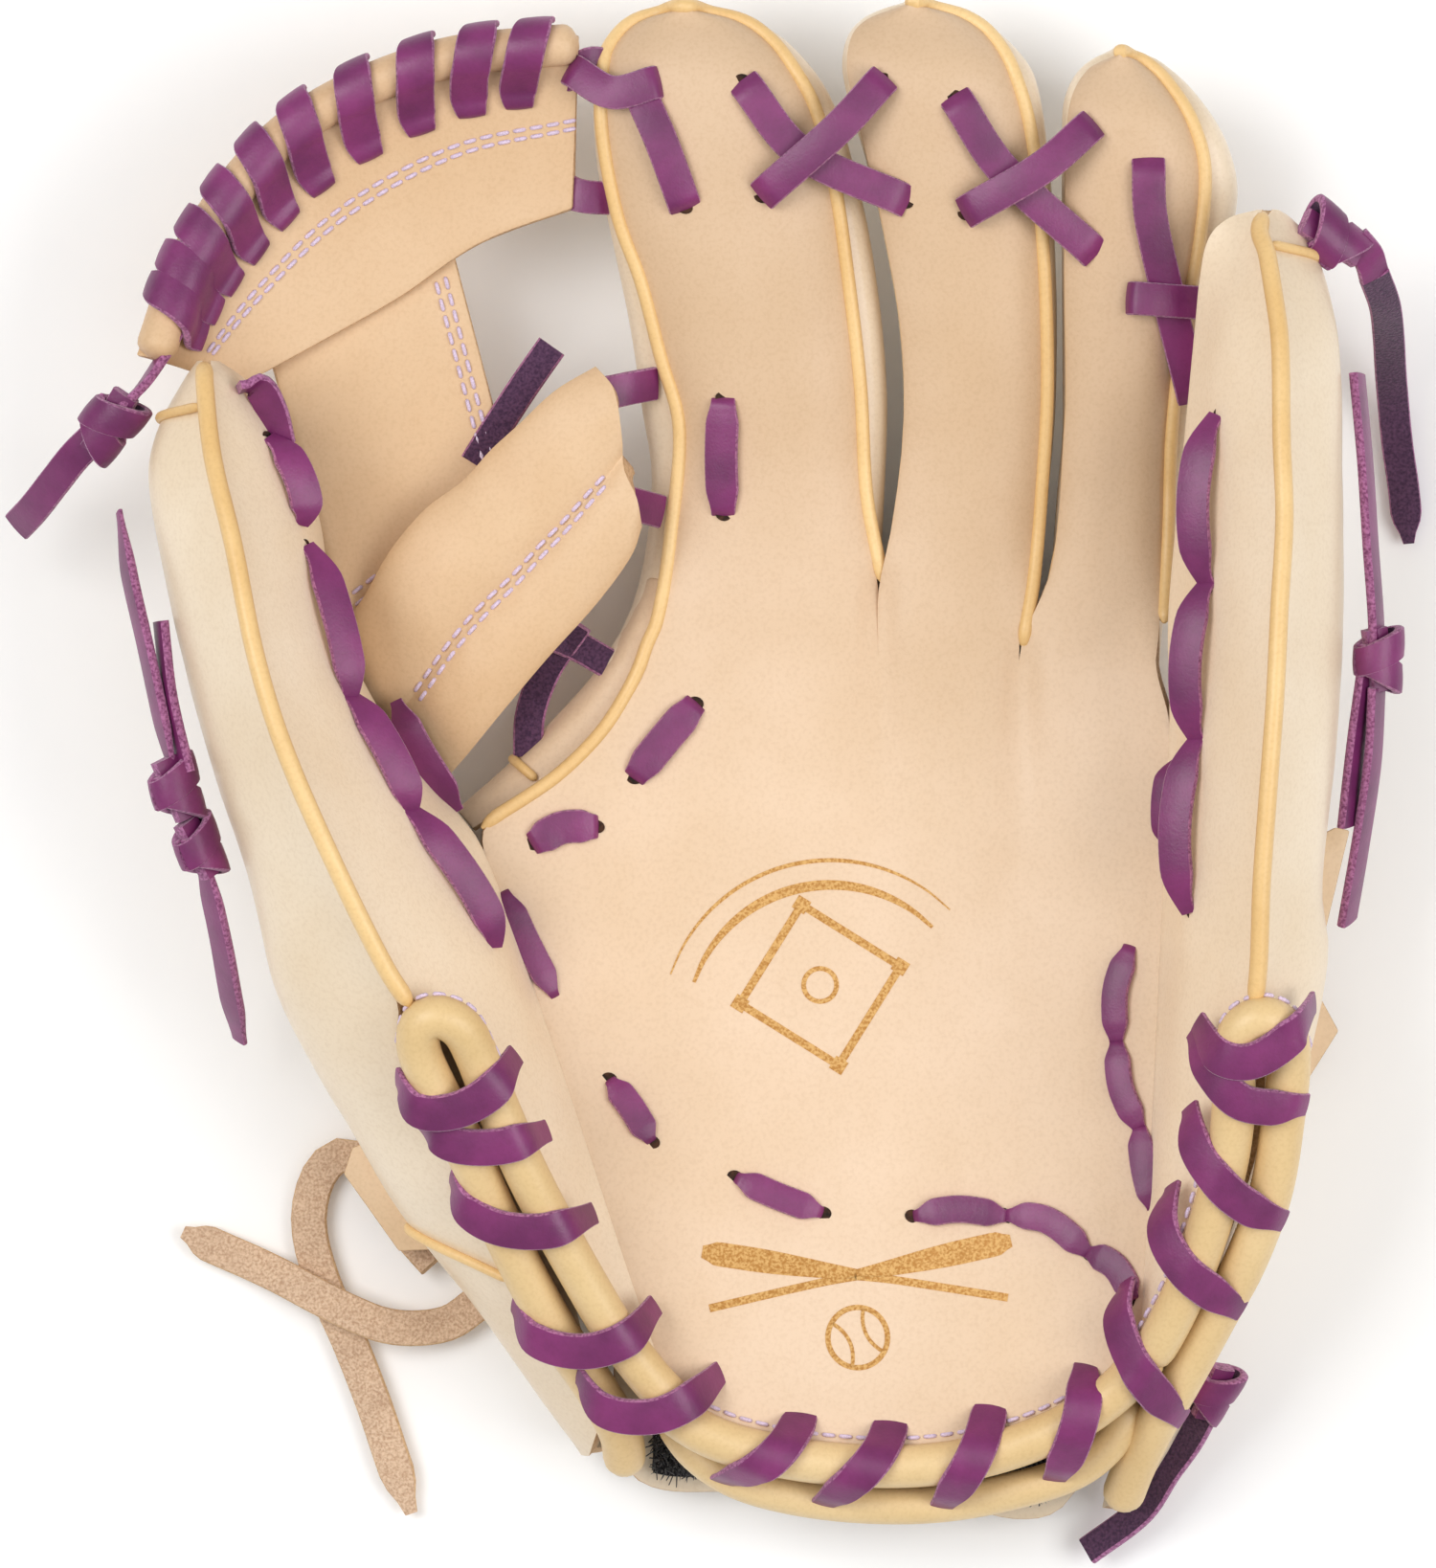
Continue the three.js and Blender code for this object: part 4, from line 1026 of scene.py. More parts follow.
# ---- Web
WEB_OUTER = [(0, -60.2, 268, 17), (0.25, -88, 264.5, 15), (0.5, -114, 252, 14),
             (0.75, -131.5, 230, 17), (1, -139.4, 209, 22)]
WEB_INNER = [(0, -61.5, 237.5, 9), (0.25, -79, 231, 6.5), (0.5, -94, 221, 5), (0.75, -108, 213, 6),
             (1, -124, 204, 9)]


def web_top(u, t):
    a, b = cubic(WEB_OUTER, t), cubic(WEB_INNER, t)
    p = lerp(a, b, u)
    p[2] -= 2.2 * math.sin(math.pi * u) - 0.5 * wrinkle(p[0] + 200, p[1])
    return p


POST_CORNERS = [(-104, 158, 2.4), (-72, 184, 1.4), (-84.5, 232, 3.2), (-119, 213, 4.6)]


def web_post(u, t):
    a, b, c, d = (np.array(p, float) for p in POST_CORNERS)
    p = lerp(lerp(a, b, u), lerp(d, c, u), t)
    p[2] += 0.5 * wrinkle(p[0] + 90, p[1] + 40) - 0.8 * (1 - (2 * u - 1) ** 2)
    return p


BAR_UPPER = [(-108.5, 157, -1.5), (-101.7, 163.4, 4.5), (-95.6, 173.6, 8.2), (-88.8, 181.5, 9.4),
             (-82, 186.5, 9.8), (-76.8, 192.3, 10.2), (-71.8, 196.8, 10.6), (-64.7, 203.4, 11.2),
             (-57.1, 207.9, 11.6)]
BAR_LOWER = [(-89.5, 126.6, -2.5), (-82.9, 133.4, 3.6), (-75.2, 142.6, 8.2), (-65.7, 153.8, 9.6),
             (-57.1, 163.3, 10.2), (-50.3, 172.6, 10.8), (-48.4, 178, 11.2)]
BAR_END = [(-57.1, 207.9, 11.6), (-53.7, 203.6, 11.6), (-52.1, 194.3, 11.4), (-51.8, 188.7, 11.2),
           (-49.4, 183.3, 11.2), (-48.4, 178, 11.2)]
BAR_FOLD = 0.57        # the sewn valley's share of the bar's width
BAR_STEPS = 44
bar_upper, bar_lower, bar_end = (spline(k, BAR_STEPS) for k in (BAR_UPPER, BAR_LOWER, BAR_END))


def web_bar(u, t):
    """The lower bar: two soft folds of leather beside a sewn valley."""
    def on(line, s):
        return np.array([np.interp(s * BAR_STEPS, range(BAR_STEPS + 1), line[:, c]) for c in range(3)])
    a, b, end = on(bar_upper, t), on(bar_lower, t), on(bar_end, u)
    start = lerp(bar_upper[0], bar_lower[0], u)
    corners = lerp(start, lerp(bar_upper[-1], bar_lower[-1], u), t)
    p = lerp(a, b, u) + lerp(start, end, t) - corners
    s = u / BAR_FOLD if u < BAR_FOLD else (u - BAR_FOLD) / (1 - BAR_FOLD)
    swell = 2.9 if u < BAR_FOLD else 2.3
    p[2] += swell * math.sin(math.pi * min(1.0, max(0.0, s))) ** 0.7 - 0.9
    p[2] += 1.2 * wrinkle(p[0] * 2.2 + 90, p[1] * 2.2 + 40)
    return p


WEB_ROLL_R = 3.9


def roll_centre(t):
    """Centre of the roll along the top bar's outer edge."""
    return web_top(0.0, t) - np.array([0, 0, 1.0])


def build_web():
    pieces = []
    for node, fn, cols, rows, thick, edge in (("web_top_bar", web_top, 24, 70, 4.4, 1.6),
                                              ("web_post", web_post, 20, 40, 2.8, 0.8),
                                              ("web_bottom_bar", web_bar, 32, 40, 4.6, 1.5)):
        grid = [[fn(i / cols, j / rows) for i in range(cols + 1)] for j in range(rows + 1)]
        obj = hide(f"{node}_hide", [grid], thick, [WEB, CUT], (0, 0, 1), edge)
        pieces.append(declare(obj, "leather", None, node))
    roll = tube([roll_centre(j / 60) for j in range(61)], WEB_ROLL_R, 18, 120)
    pieces.append(declare(merged("web_edge_roll", [roll], [WEB]), "leather"))
    seams = []
    for u in (0.46, 0.51):
        seams.append(([web_top(u, t / 20) for t in range(20)], (0.0, -0.2, 1)))
    for u in (0.88, 0.93):
        line = [web_post(u, t / 10) + np.array([0, 0, 0.1]) for t in range(10)]
        seams.append((line, (0, 0, 1)))
    for t in (0.06, 0.1):
        seams.append(([web_post(u / 10, t) for u in range(5)], (0, 0, 1)))
    for u in (BAR_FOLD - 0.02, BAR_FOLD + 0.035):
        line = [web_bar(u, lerp(0.16, 0.93, t / 12)) for t in range(13)]
        seams.append((line, (0, 0, 1)))
    pieces.append(stitches("web_sewing", seams, None))
    return pieces


def web_wraps():
    """Lace wound round the web's outer roll."""
    parts = []
    radius = WEB_ROLL_R + LACE_T / 2 + 0.15
    lean = 2.6
    for t in (0.085, 0.175, 0.275, 0.38, 0.485, 0.575, 0.66, 0.74, 0.815, 0.885):
        c = roll_centre(t)
        tangent = unit(web_top(0, t + 0.02) - web_top(0, t - 0.02))
        inward = web_top(0.2, t) - web_top(0, t)
        inward = unit(inward - tangent * inward.dot(tangent))
        up = np.cross(tangent, inward)
        up *= 1 if up[2] > 0 else -1
        points = []
        for reach in (10.6, 9.6, 7.2):
            base = web_top(reach / 31.0, t)
            points.append(base + up * (0.9 - (1.9 if reach > 10 else 0)) + tangent * lean * 0.9)
        for i in range(9):
            a = math.radians(lerp(52, 215, i / 8))
            points.append(c + radius * (math.cos(a) * inward + math.sin(a) * up)
                          + tangent * lean * lerp(0.5, -1.2, i / 8))
        parts.append(lace(points, tangent, 34, 7.2, pinch=0.7))
    return parts


# ---- Lacing
def taut(plan, height, lift, sink=1.6, samples=40, bow=0.0):
    """A lace pulled straight over whatever lies under the plan line, its ends sunk in holes."""
    plan = spline([(x, y, 0) for x, y in plan], samples)[:, :2]
    run = np.concatenate([[0], np.cumsum(np.linalg.norm(np.diff(plan, axis=0), axis=1))])
    z = np.array([height(x, y) + lift for x, y in plan])
    z[0] -= sink
    z[-1] -= sink
    hull = []
    for point in zip(run, z):
        while len(hull) > 1:
            (x1, z1), (x2, z2) = hull[-2], hull[-1]
            if (x2 - x1) * (point[1] - z1) - (point[0] - x1) * (z2 - z1) >= 0:
                hull.pop()
            else:
                break
        hull.append(point)
    z = np.interp(run, [h[0] for h in hull], [h[1] for h in hull])
    for _ in range(2):
        z[1:-1] = (z[:-2] + 2 * z[1:-1] + z[2:]) / 4
    t = run / run[-1]
    z += bow * np.sin(math.pi * t)
    return np.column_stack([plan, z])


def flat_side(path):
    """Width direction: level and square to the run."""
    d = np.gradient(path, axis=0)
    return np.column_stack([-d[:, 1], d[:, 0], np.zeros(len(d))])


def surface_side(path):
    """Width direction that follows the leather under a run."""
    reach, steepest = 2.5, 0.8
    out = []
    for p, s in zip(path, unit(flat_side(path))):
        a = face_height(p[0] + reach * s[0], p[1] + reach * s[1])
        b = face_height(p[0] - reach * s[0], p[1] - reach * s[1])
        slope = max(-steepest, min(steepest, (a - b) / (2 * reach)))
        out.append((s[0], s[1], slope))
    return np.array(out)


def palm_stitch(plan, width=LACE_W, pinch=0.72):
    path = taut(plan, face_height, LACE_T * 0.34)
    return lace(path, surface_side(path), smooth=False, width=width, pinch=pinch)


holes = {"palm": [], "thumb": [], "pinky": []}


def punched(at, body, normal):
    """A punched hole: a dark dish just proud of the leather, painted shadow that stands in for the
    hole's shaded depth.
    """
    n = unit(normal)
    a = unit(np.cross(n, (0.3, 1, 0.1)))
    b = np.cross(n, a)
    ring = [np.array(at) + n * 0.12 + x * a + 0.8 * y * b for x, y in circle(HOLE_R, 16)]
    holes[body].append(prism(ring, [p - n * 0.3 for p in ring]))


def punched_in_palm(x, y):
    punched((x, y, face_height(x, y)), "palm", (0, 0, 1))


def build_palm_laces():
    runs = {
        "palm_lace_index": [[(-33.2, 202), (-33.6, 191), (-33.2, 180.4)]],
        "palm_lace_web_a": [[(-38.4, 145), (-44.4, 138), (-50, 131)]],
        "palm_lace_web_b": [[(-69, 118.6), (-63.5, 121.6), (-57, 121.8)]],
        "palm_lace_thumb_b": [[(-54.6, 74.4), (-50.4, 69), (-46.6, 62.6)]],
        "palm_lace_heel": [[(-31, 56), (-23, 52.4), (-14.4, 49.2)]],
        "palm_lace_corner": [[(2.4, 48.6), (11, 50), (20.4, 48.6)],
                             [(19.4, 49), (27.6, 48), (35.6, 41.6)],
                             [(34.6, 42.4), (40, 39.6), (43.6, 33.4)]],
    }
    for node, plans in runs.items():
        narrow = node in ("palm_lace_thumb_b", "palm_lace_heel", "palm_lace_corner")
        parts = [palm_stitch(plan, width=5.2 if narrow else LACE_W, pinch=0.4 if narrow else 0.72)
                 for plan in plans]
        laces(f"{node}_run", parts, "palm", node)
        for plan in plans:
            punched_in_palm(*plan[0])
            punched_in_palm(*plan[-1])


def finger_laces():
    """Crossed laces that tie the fingertips, and the one down the side of the ring finger."""
    def over(plan, extra=0.0, bow=0.8):
        def height(x, y):
            top = face_height(x, y)
            return top if top > -19 else front_line(y)[0] - 4
        path = taut(plan, height, LACE_T / 2 + extra, bow=bow)
        return lace(path, flat_side(path), smooth=False)

    parts = [
        over([(-61.5, 263), (-54, 258.6), (-45.6, 260.5)], 0.3),
        over([(-48.4, 257.8), (-44.6, 249), (-40.4, 237.6)]),
        over([(-29.4, 260.4), (-19, 247.6), (0.8, 238.6)], 0.1, 0.5),
        over([(-3.4, 261), (-12, 251.6), (-25.8, 239.6)], 1.6, 2.2),
        over([(10, 257.6), (18.6, 244.6), (36, 229)], 0.1, 0.5),
        over([(35.4, 252.6), (26, 244.4), (12, 236.4)], 1.6, 2.2),
    ]
    laces("fingertip_lacing", parts, "palm", "finger_lace")
    for x, y in ((-48.6, 258.4), (-40.4, 237.4), (-29.6, 260.8), (0.8, 238.4), (-3.2, 261),
                 (-26, 239.4), (10, 257.8), (35, 229.6), (35.2, 252.6), (12, 236.2)):
        punched_in_palm(x, y)
    side = [
        over([(46, 246), (46.4, 236), (49.6, 222), (55, 202)], 0.2, 0.4),
        over([(42.8, 220.5), (50, 220), (58, 219.6)], 1.6, 1.2),
    ]
    laces("ring_side_lacing", side, "palm", "ring_pinky_lace")


def face_run(name, u, ys, proud):
    """Visible lace runs up the inner face of thumb or little finger."""
    d = FOLDS[name]["rails"]
    away = unit(FOLDS[name]["inward"])
    parts = []
    for y0, y1, bow in ys:
        points, sides = [], []
        for i in range(25):
            t = i / 24
            y = lerp(y0, y1, t)
            p = fold_face(d, u(y), y)
            q = fold_face(d, min(1, u(y) + 0.05), y)
            sink = 1.6 * (abs(2 * t - 1) ** 6)
            points.append(p + away * (proud - sink + bow * math.sin(math.pi * t)))
            sides.append(0.45 * unit(q - p) - np.array([away[0], 0, 0]))
        parts.append(lace(points, sides, smooth=False, pinch=0.5))
        for p in (points[0], points[-1]):
            punched(p - away * (proud - 1.4), name, away)
    return parts


def heel_wraps(names, plans):
    """Laces pulled over the heel rolls. A plan is a line from inside to outside, with how far
    its two ends dip."""
    rolls = [spline(HEEL_ROLLS[n], 160) for n in names]
    along = np.array([1.0, 0, 0])
    if names[0] != "palm":
        along = unit(rolls[0][-1] - rolls[0][0])
        inner, outer = (HEEL_ROLLS[n] for n in names)
        rolls.append(spline(hood(inner[-1], outer[0]), 60))
    r = ROLL_R * 1.05

    def height(x, y):
        top = -50.0
        for pts in rolls:
            gap = np.hypot(pts[:, 0] - x, pts[:, 1] - y)
            k = int(gap.argmin())
            beside = pts[k][2] - 0.9 * (gap[k] - 0.4 * r)
            top = max(top, pts[k][2] + math.sqrt(r * r - gap[k] ** 2) if gap[k] < r else beside)
        return top

    parts = []
    for plan, dip_in, dip_out in plans:
        path = taut(plan, height, LACE_T / 2 + 0.1, sink=0.0, samples=44)
        t = np.linspace(0, 1, len(path))
        path[:, 2] -= np.clip((0.10 - t) / 0.10, 0, 1) ** 2 * dip_in
        path[:, 2] -= np.clip((t - 0.86) / 0.14, 0, 1) ** 2 * dip_out
        level = unit(flat_side(path))
        level *= 1.0 if level[len(path) // 2] @ along > 0 else -1.0
        parts.append(lace(path, lerp(level, along, 0.7), width=7.0, smooth=False, pinch=0.62))
    return parts


WRAP_MATS = [LACE, LACE_EDGE, LACE_EDGE]


def build_heel_laces():
    thumb_plans = [
        ([(-93.2, 75.9), (-89.7, 69.9), (-82.6, 69.7), (-75.6, 73.6), (-71.6, 79.8)], 1.5, 1.5),
        ([(-89.5, 68), (-83.6, 63.6), (-74.7, 63), (-65.9, 65.6)], 1.5, 1.5),
        ([(-83.4, 57.2), (-80.9, 51.2), (-74.7, 47.7), (-65.9, 47.2), (-57.4, 50)], 1, 1.5),
        ([(-72.2, 33), (-68.4, 26.5), (-59.6, 24.3), (-51.1, 26.8), (-46, 32.4)], 1, 1.5),
        ([(-60.2, 19.6), (-55.4, 13.1), (-46.6, 12), (-39.5, 14.9), (-33.2, 20.2)], 1, 1.5),
    ]
    laces("thumb_heel_lacing", heel_wraps(("thumb_in", "thumb_out"), thumb_plans), "thumb",
          "heel_lace_thumb", WRAP_MATS)
    pinky_plans = [
        ([(53.5, 84.4), (56, 77.6), (61.2, 71.8), (66.9, 70.4), (74, 70.8)], 1, 1.5),
        ([(54.2, 86), (57.6, 80), (63.6, 79), (70.6, 83.4), (75.4, 89.6)], 1, 1.5),
        ([(53, 70.2), (54, 62.6), (58.8, 55.6), (64.5, 51.2), (70.4, 49)], 1, 1.5),
        ([(50.2, 55.4), (48.2, 47.4), (51.6, 40.4), (57.2, 35.6), (63, 32)], 1, 1.5),
        ([(42.2, 37), (40.4, 30.3), (43, 22.3), (47.6, 15.8), (52.8, 11)], 1, 1.5),
    ]
    laces("pinky_heel_lacing", heel_wraps(("pinky_in", "pinky_out"), pinky_plans), "pinky",
          "heel_lace_pinky", WRAP_MATS)
    palm_plans = [
        ([(-17, 14.6), (-20.6, 8), (-26, 2.6), (-34, -1)], 1.5, 4),
        ([(-0.6, 14.2), (-3, 7), (-8, 0.6), (-15, -5.4)], 1.5, 4),
        ([(17.8, 16.6), (15.6, 9), (12.4, 2), (7.4, -6)], 1.5, 4),
        ([(34.6, 21.8), (33.8, 14), (32, 7), (28.6, -1)], 1.5, 4),
    ]
    laces("palm_heel_lacing", heel_wraps(("palm", "under"), palm_plans), "palm",
          "heel_lace_palm", WRAP_MATS)


# ---- Knots, ends and free ties
def knot(centre, axis, size, seed=0.0):
    """An overhand knot in flat lace: two turns round the standing part, drawn tight."""
    c, a = np.array(centre, float), unit(axis)
    b = unit(np.cross(a, (0.2 + seed, 0.3, 1.0)))
    n = np.cross(a, b)
    parts = []
    for shift, tilt, reach in ((-1.6, 0.5, 1.0), (1.9, -0.55, 0.92)):
        ring = []
        for i in range(25):
            t = 2 * math.pi * i / 24 * 0.985
            out = (4.3 * math.cos(t) * b + 3.3 * math.sin(t) * n) * size * reach
            ring.append(c + out + a * (shift + tilt * 4.0 * math.cos(t)) * size)
        parts.append(lace(ring, a, 46, LACE_W * 0.92 * size, LACE_T))
    parts.append(lace([c - a * 6 * size + b, c, c + a * 6 * size - b], b, 14, LACE_W * 0.8 * size,
                      LACE_T * 1.6))
    return parts


TIE_A = [(-88, 39, -20), (-92.5, 44, -22), (-97, 51, -23), (-101.5, 57.6, -23.4),
         (-106.5, 59, -23.4), (-110.5, 54.5, -23.4), (-112, 46, -23.4), (-109.5, 35.5, -23.4),
         (-104.4, 24, -23.4), (-99.7, 12, -23.4), (-96, 1, -23.4), (-92.5, -9, -23.4)]
TIE_B = [(-80, 31, -22.6), (-85, 27.5, -22.4), (-91, 26.4, -21), (-97.5, 27, -19.4),
         (-104, 29.5, -18.6), (-110, 32.4, -19.4), (-117, 36, -21.8), (-123, 38.8, -23),
         (-129.5, 41.6, -23.4), (-136, 44.6, -23.4)]
TIP_TAIL = [(88, 224.5, 19), (90.5, 219.5, 10), (92, 214, -2), (93, 208, -12), (94, 201.5, -19),
            (95, 194, -22.6), (96.2, 186, -23.4), (97.2, 175.5, -23.4)]
TIE_W, TIE_T = 6.8, 2.3
TAIL_W = 6.0
CUT_WIDTH = 0.35       # share of the width at a free end's cut
CORD_STEPS = 36


def free_end(name, points, node, body, mats, slot, width, thick, side):
    path = spline(points, CORD_STEPS)
    run = swept(path, facing(path, side, (0, 0, 1)), lace_section(width, thick),
                lambda t: lerp(CUT_WIDTH, 1.0, smoothstep(0, 0.08, 1 - t)))
    obj = merged(name, [run], mats, choose=lace_face)
    declare(obj, slot, body, node)


def build_free_ends():
    for name, route, node, rise in (("tie_lace_long", TIE_A, "tie_lace_a", 0.12),
                                    ("tie_lace_short", TIE_B, "tie_lace_b", 0.1)):
        side = unit(flat_side(spline(route, CORD_STEPS))) + np.array([0, 0, rise])
        free_end(name, route, node, "palm", [RAW, CUT, RAW_FACE], "suede", TIE_W, TIE_T, side)
    free_end("little_finger_tail", TIP_TAIL, "pinky_tip_tail", "pinky",
             [LACE_BACK, LACE_EDGE, LACE], "lace", TAIL_W, LACE_T,
             flat_side(spline(TIP_TAIL, CORD_STEPS)))


def build_knots():
    thumb_tip = knot((-147.4, 197, 21), (-0.62, -0.72, -0.3), 1.05) + [
        lace([(-149, 195.6, 20), (-154, 191, 17), (-158, 186.5, 12), (-162.5, 181.5, 5),
              (-166, 178.4, -2)], (0.7, -0.7, 0.1), 24, 6.1),
        lace([(-147, 198, 21), (-142, 203, 21), (-138.5, 208, 20), (-135, 214, 18)],
             (0.5, 0.5, 0.6), 16, 6.1)]
    laces("thumb_tip_knotwork", thumb_tip, "thumb", "thumb_tip_knot")
    side = knot((-134.8, 129, 26.5), (0.25, -1, -0.1), 0.98, 0.3)
    side += knot((-130.6, 118, 24.5), (0.35, -1, -0.2), 0.94, 0.7)
    side += [lace([(-145.6, 180.5, 22), (-143.6, 169, 26), (-140.6, 156, 27.4), (-137.6, 142, 27.4),
                   (-135, 130, 26)], (0.35, 0.1, 1), 30, 6.0, out=(-1, 0, 0.2), pinch=0.4),
             lace([(-130, 116, 24), (-127, 101, 17), (-125.4, 90, 9), (-124, 81.6, 2)],
                  (0.55, 0.1, 1), 26, 6.0, out=(-1, 0, 0.2), pinch=0.6),
             lace([(-137.6, 160, 27.6), (-136, 146, 27.6), (-132.8, 132, 27)], (0.3, 0.2, 1), 20, 6.0)]
    laces("thumb_side_knotwork", side, "thumb", "thumb_side_knot")
    laces("pinky_tip_knotwork", knot((79.6, 231.2, 25), (0.75, -0.62, -0.3), 1.05) + [
        lace([(84, 231, 24), (86.6, 228, 22.6), (88, 224.5, 19)], (0.6, 0.8, 0.2), 10, 6.0)],
        "pinky", "pinky_tip_knot")
    pinky_side = knot((88.4, 153, 26), (0.0, -1, -0.1), 0.95, 0.2)
    pinky_side += [
        lace([(84.6, 206, 24), (86, 190, 25.4), (87, 174, 26), (88, 160, 26), (88, 152, 26)],
             (-0.35, 0.05, 1), 30, 6.0),
        lace([(88.2, 148, 25), (87.6, 134, 22), (85.6, 118, 16), (83.6, 104, 9)], (-0.4, 0.1, 1),
             30, 6.0),
        lace([(86.4, 152, 25.6), (84.6, 138, 23.4), (83, 122, 19.6)], (-0.5, 0.1, 1), 20, 6.0)]
    laces("pinky_side_knotwork", pinky_side, "pinky", "pinky_side_knot")
    heel = knot((59, 15.4, -3), (-0.5, -0.85, -0.3), 0.9, 0.5) + [
        lace([(58.2, 12.6, -5), (55, 6, -9.4), (51, 0, -13), (46, -8, -17), (36, -16, -21.4)],
             (0.8, -0.5, 0.5), 26, 5.6, out=(0, 0, -1))]
    laces("heel_knotwork", heel, "pinky", "heel_knot")


# ---- Back of the hand, wrist, hidden pads and loops
def level_panel(name, left, right, f, ys, thick, mats, edge):
    rows = []
    for y in np.linspace(*ys, 25):
        rows.append([(x, y, f) for x in np.linspace(left(y)[0], right(y)[0], 29)])
    return hide(name, [rows], thick, mats, (0, 0, -1), edge)


def build_back():
    hand = level_panel("hand_back_hide", rail((58, -61), (85, -67), (110, -71), (130, -61), (147, -54)),
                       rail((58, 43), (147, 46)), -26.0, (58, 147), 2.4, [SHEEN, CUT], 0.6)
    declare(hand, "sheen", "palm", "hand_back")
    lining = level_panel("hand_back_lining",
                         rail((60, -57), (85, -63), (110, -66), (130, -57), (144, -50)),
                         rail((58, 40), (147, 42)), -23.0, (61, 144), 1.2, [LINING], 0)
    declare(lining, "lining", "palm", "back_lining")
    rows = []
    for j in range(17):
        rows.append([(x, lerp(strap_edge(x)[0], 20, j / 16), -17.6 - 1.4 * smoothstep(-54, -42, x))
                     for x in np.linspace(-54, 38, 41)])
    strap = hide("wrist_strap_hide", [rows], 2.6, [SHEEN, CUT], (0, 0, -1), 0.9)
    declare(strap, "sheen", "wrist_strap", "wrist_strap")
    build_fur()
    build_tabs()


strap_edge = rail((-54, 5), (-51, -1), (-45, -4), (-34, -4.4), (-6, -4.8), (12, -7.4), (23, -9.6),
                  (31, -7.4), (38, 3))


def build_tabs():
    """Ends of the straps on the back of the hand, showing past both sides."""
    tabs = (("strap_end_left", "thumb", -15.0,
             [(-80, 42), (-94.6, 41.4), (-105, 56), (-103.4, 61), (-98, 63), (-86, 60)]),
            ("strap_end_right", "pinky", -15.6,
             [(64, 74), (76.5, 72), (83.4, 83), (79.6, 90), (66, 94)]),
            ("strap_edge_right", "pinky", -10.4,
             [(66, 103), (80.6, 102), (84.2, 117), (85.2, 121), (82.6, 121.6), (67.5, 114)]))
    for name, body, f, outline in tabs:
        verts = [place((x, y, f)) for x, y in outline]
        mesh = bpy.data.meshes.new(name)
        mesh.from_pydata([tuple(v) for v in verts], [], [tuple(range(len(verts)))])
        tab = link(name, mesh, RAW_FACE, CUT)
        solid = tab.modifiers.new("thick", "SOLIDIFY")
        solid.thickness = 2.2 * MM
        solid.material_offset_rim = 1
        rounding = tab.modifiers.new("edge", "BEVEL")
        rounding.width = 0.4 * MM
        rounding.segments = 2
        settle(tab)
        smooth_shading(tab.data)
        declare(tab, "leather", body)


def build_fur():
    """Short black pile on the strap's inner face: a backing with combed tufts."""
    x0, x1, y1, f = -46.5, 35.0, 17.5, -16.2
    tufts = 5700
    rng = np.random.default_rng(11)

    def low(x):
        return strap_edge(x)[0] + 3.0

    base = [[(x, lerp(low(x), y1, j / 10), f + 2.2) for x in np.linspace(x0, x1, 31)]
            for j in range(11)]
    mesh = grids_mesh("strap_pile", [base])
    verts = [np.array(v.co) for v in mesh.vertices]
    faces = [tuple(p.vertices) for p in mesh.polygons]
    bpy.data.meshes.remove(mesh)
    for _ in range(tufts):
        x = rng.uniform(x0, x1)
        y = rng.uniform(low(x) + 0.8, y1)
        root = np.array([x, y, f + 2.0])
        lean = np.array([rng.normal(0, 0.9), rng.normal(-0.7, 0.9), rng.uniform(2.0, 3.4)])
        side = unit([rng.normal(0, 1), rng.normal(0, 1), 0.0]) * 0.22
        first = len(verts)
        verts += [place(root - side), place(root + side), place(root + lean)]
        faces.append((first, first + 1, first + 2))
    mesh = bpy.data.meshes.new("strap_pile")
    mesh.from_pydata([tuple(v) for v in verts], [], faces)
    obj = link("strap_pile", mesh, FUR)
    solid = obj.modifiers.new("thick", "SOLIDIFY")
    solid.thickness = 0.2 * MM
    settle(obj)
    declare(obj, "fur", "wrist_strap", "strap_fur")


def build_pads():
    """Felt pads inside palm and heels; they can't be seen once the glove is closed."""
    rows = [[(x, y, pocket(x, y) - HIDE - 1.8) for x in np.linspace(-33, 29, 22)]
            for y in np.linspace(25, 91, 22)]
    pad = hide("palm_felt", [rows], 2.8, [FELT], (0, 0, 1), 0.8)
    declare(pad, "felt", "palm", "palm_pad")
    for name in ("thumb", "pinky"):
        spec = FOLDS[name]
        behind = unit(spec["inward"]) * 3.2
        rows = [[fold_face(spec["rails"], u, y) - behind for u in np.linspace(0.22, 0.64, 11)]
                for y in np.linspace(47, 85, 16)]
        pad = hide(f"{name}_heel_felt", [rows], 3.8, [FELT], spec["inward"], 1.0)
        declare(pad, "felt", name, f"{name}_heel_pad")
    bands = {"thumb": [(-103.5, 128, 12), (-107.8, 128.6, 24), (-110, 128, 36)],
             "pinky": [(64, 122, 14), (66.8, 122.6, 25), (68, 122, 37)]}
    for name, points in bands.items():
        band = merged(f"{name}_loop_band", [lace(points, (0.02, 1, 0.03), 20, 10, 1.6)],
                      [LINING, CUT, LINING], choose=lace_face)
        declare(band, "lining", name, f"{name}_loop")


# ---- Foil decoration: a plain infield diamond, crossed bats over a ball. No lettering.
def foil(outline):
    """A plate of foil just proud of the palm."""
    top = [(x, y, pocket(x, y) + 0.10) for x, y in outline]
    return prism(top, [(x, y, z - 0.3) for x, y, z in top])


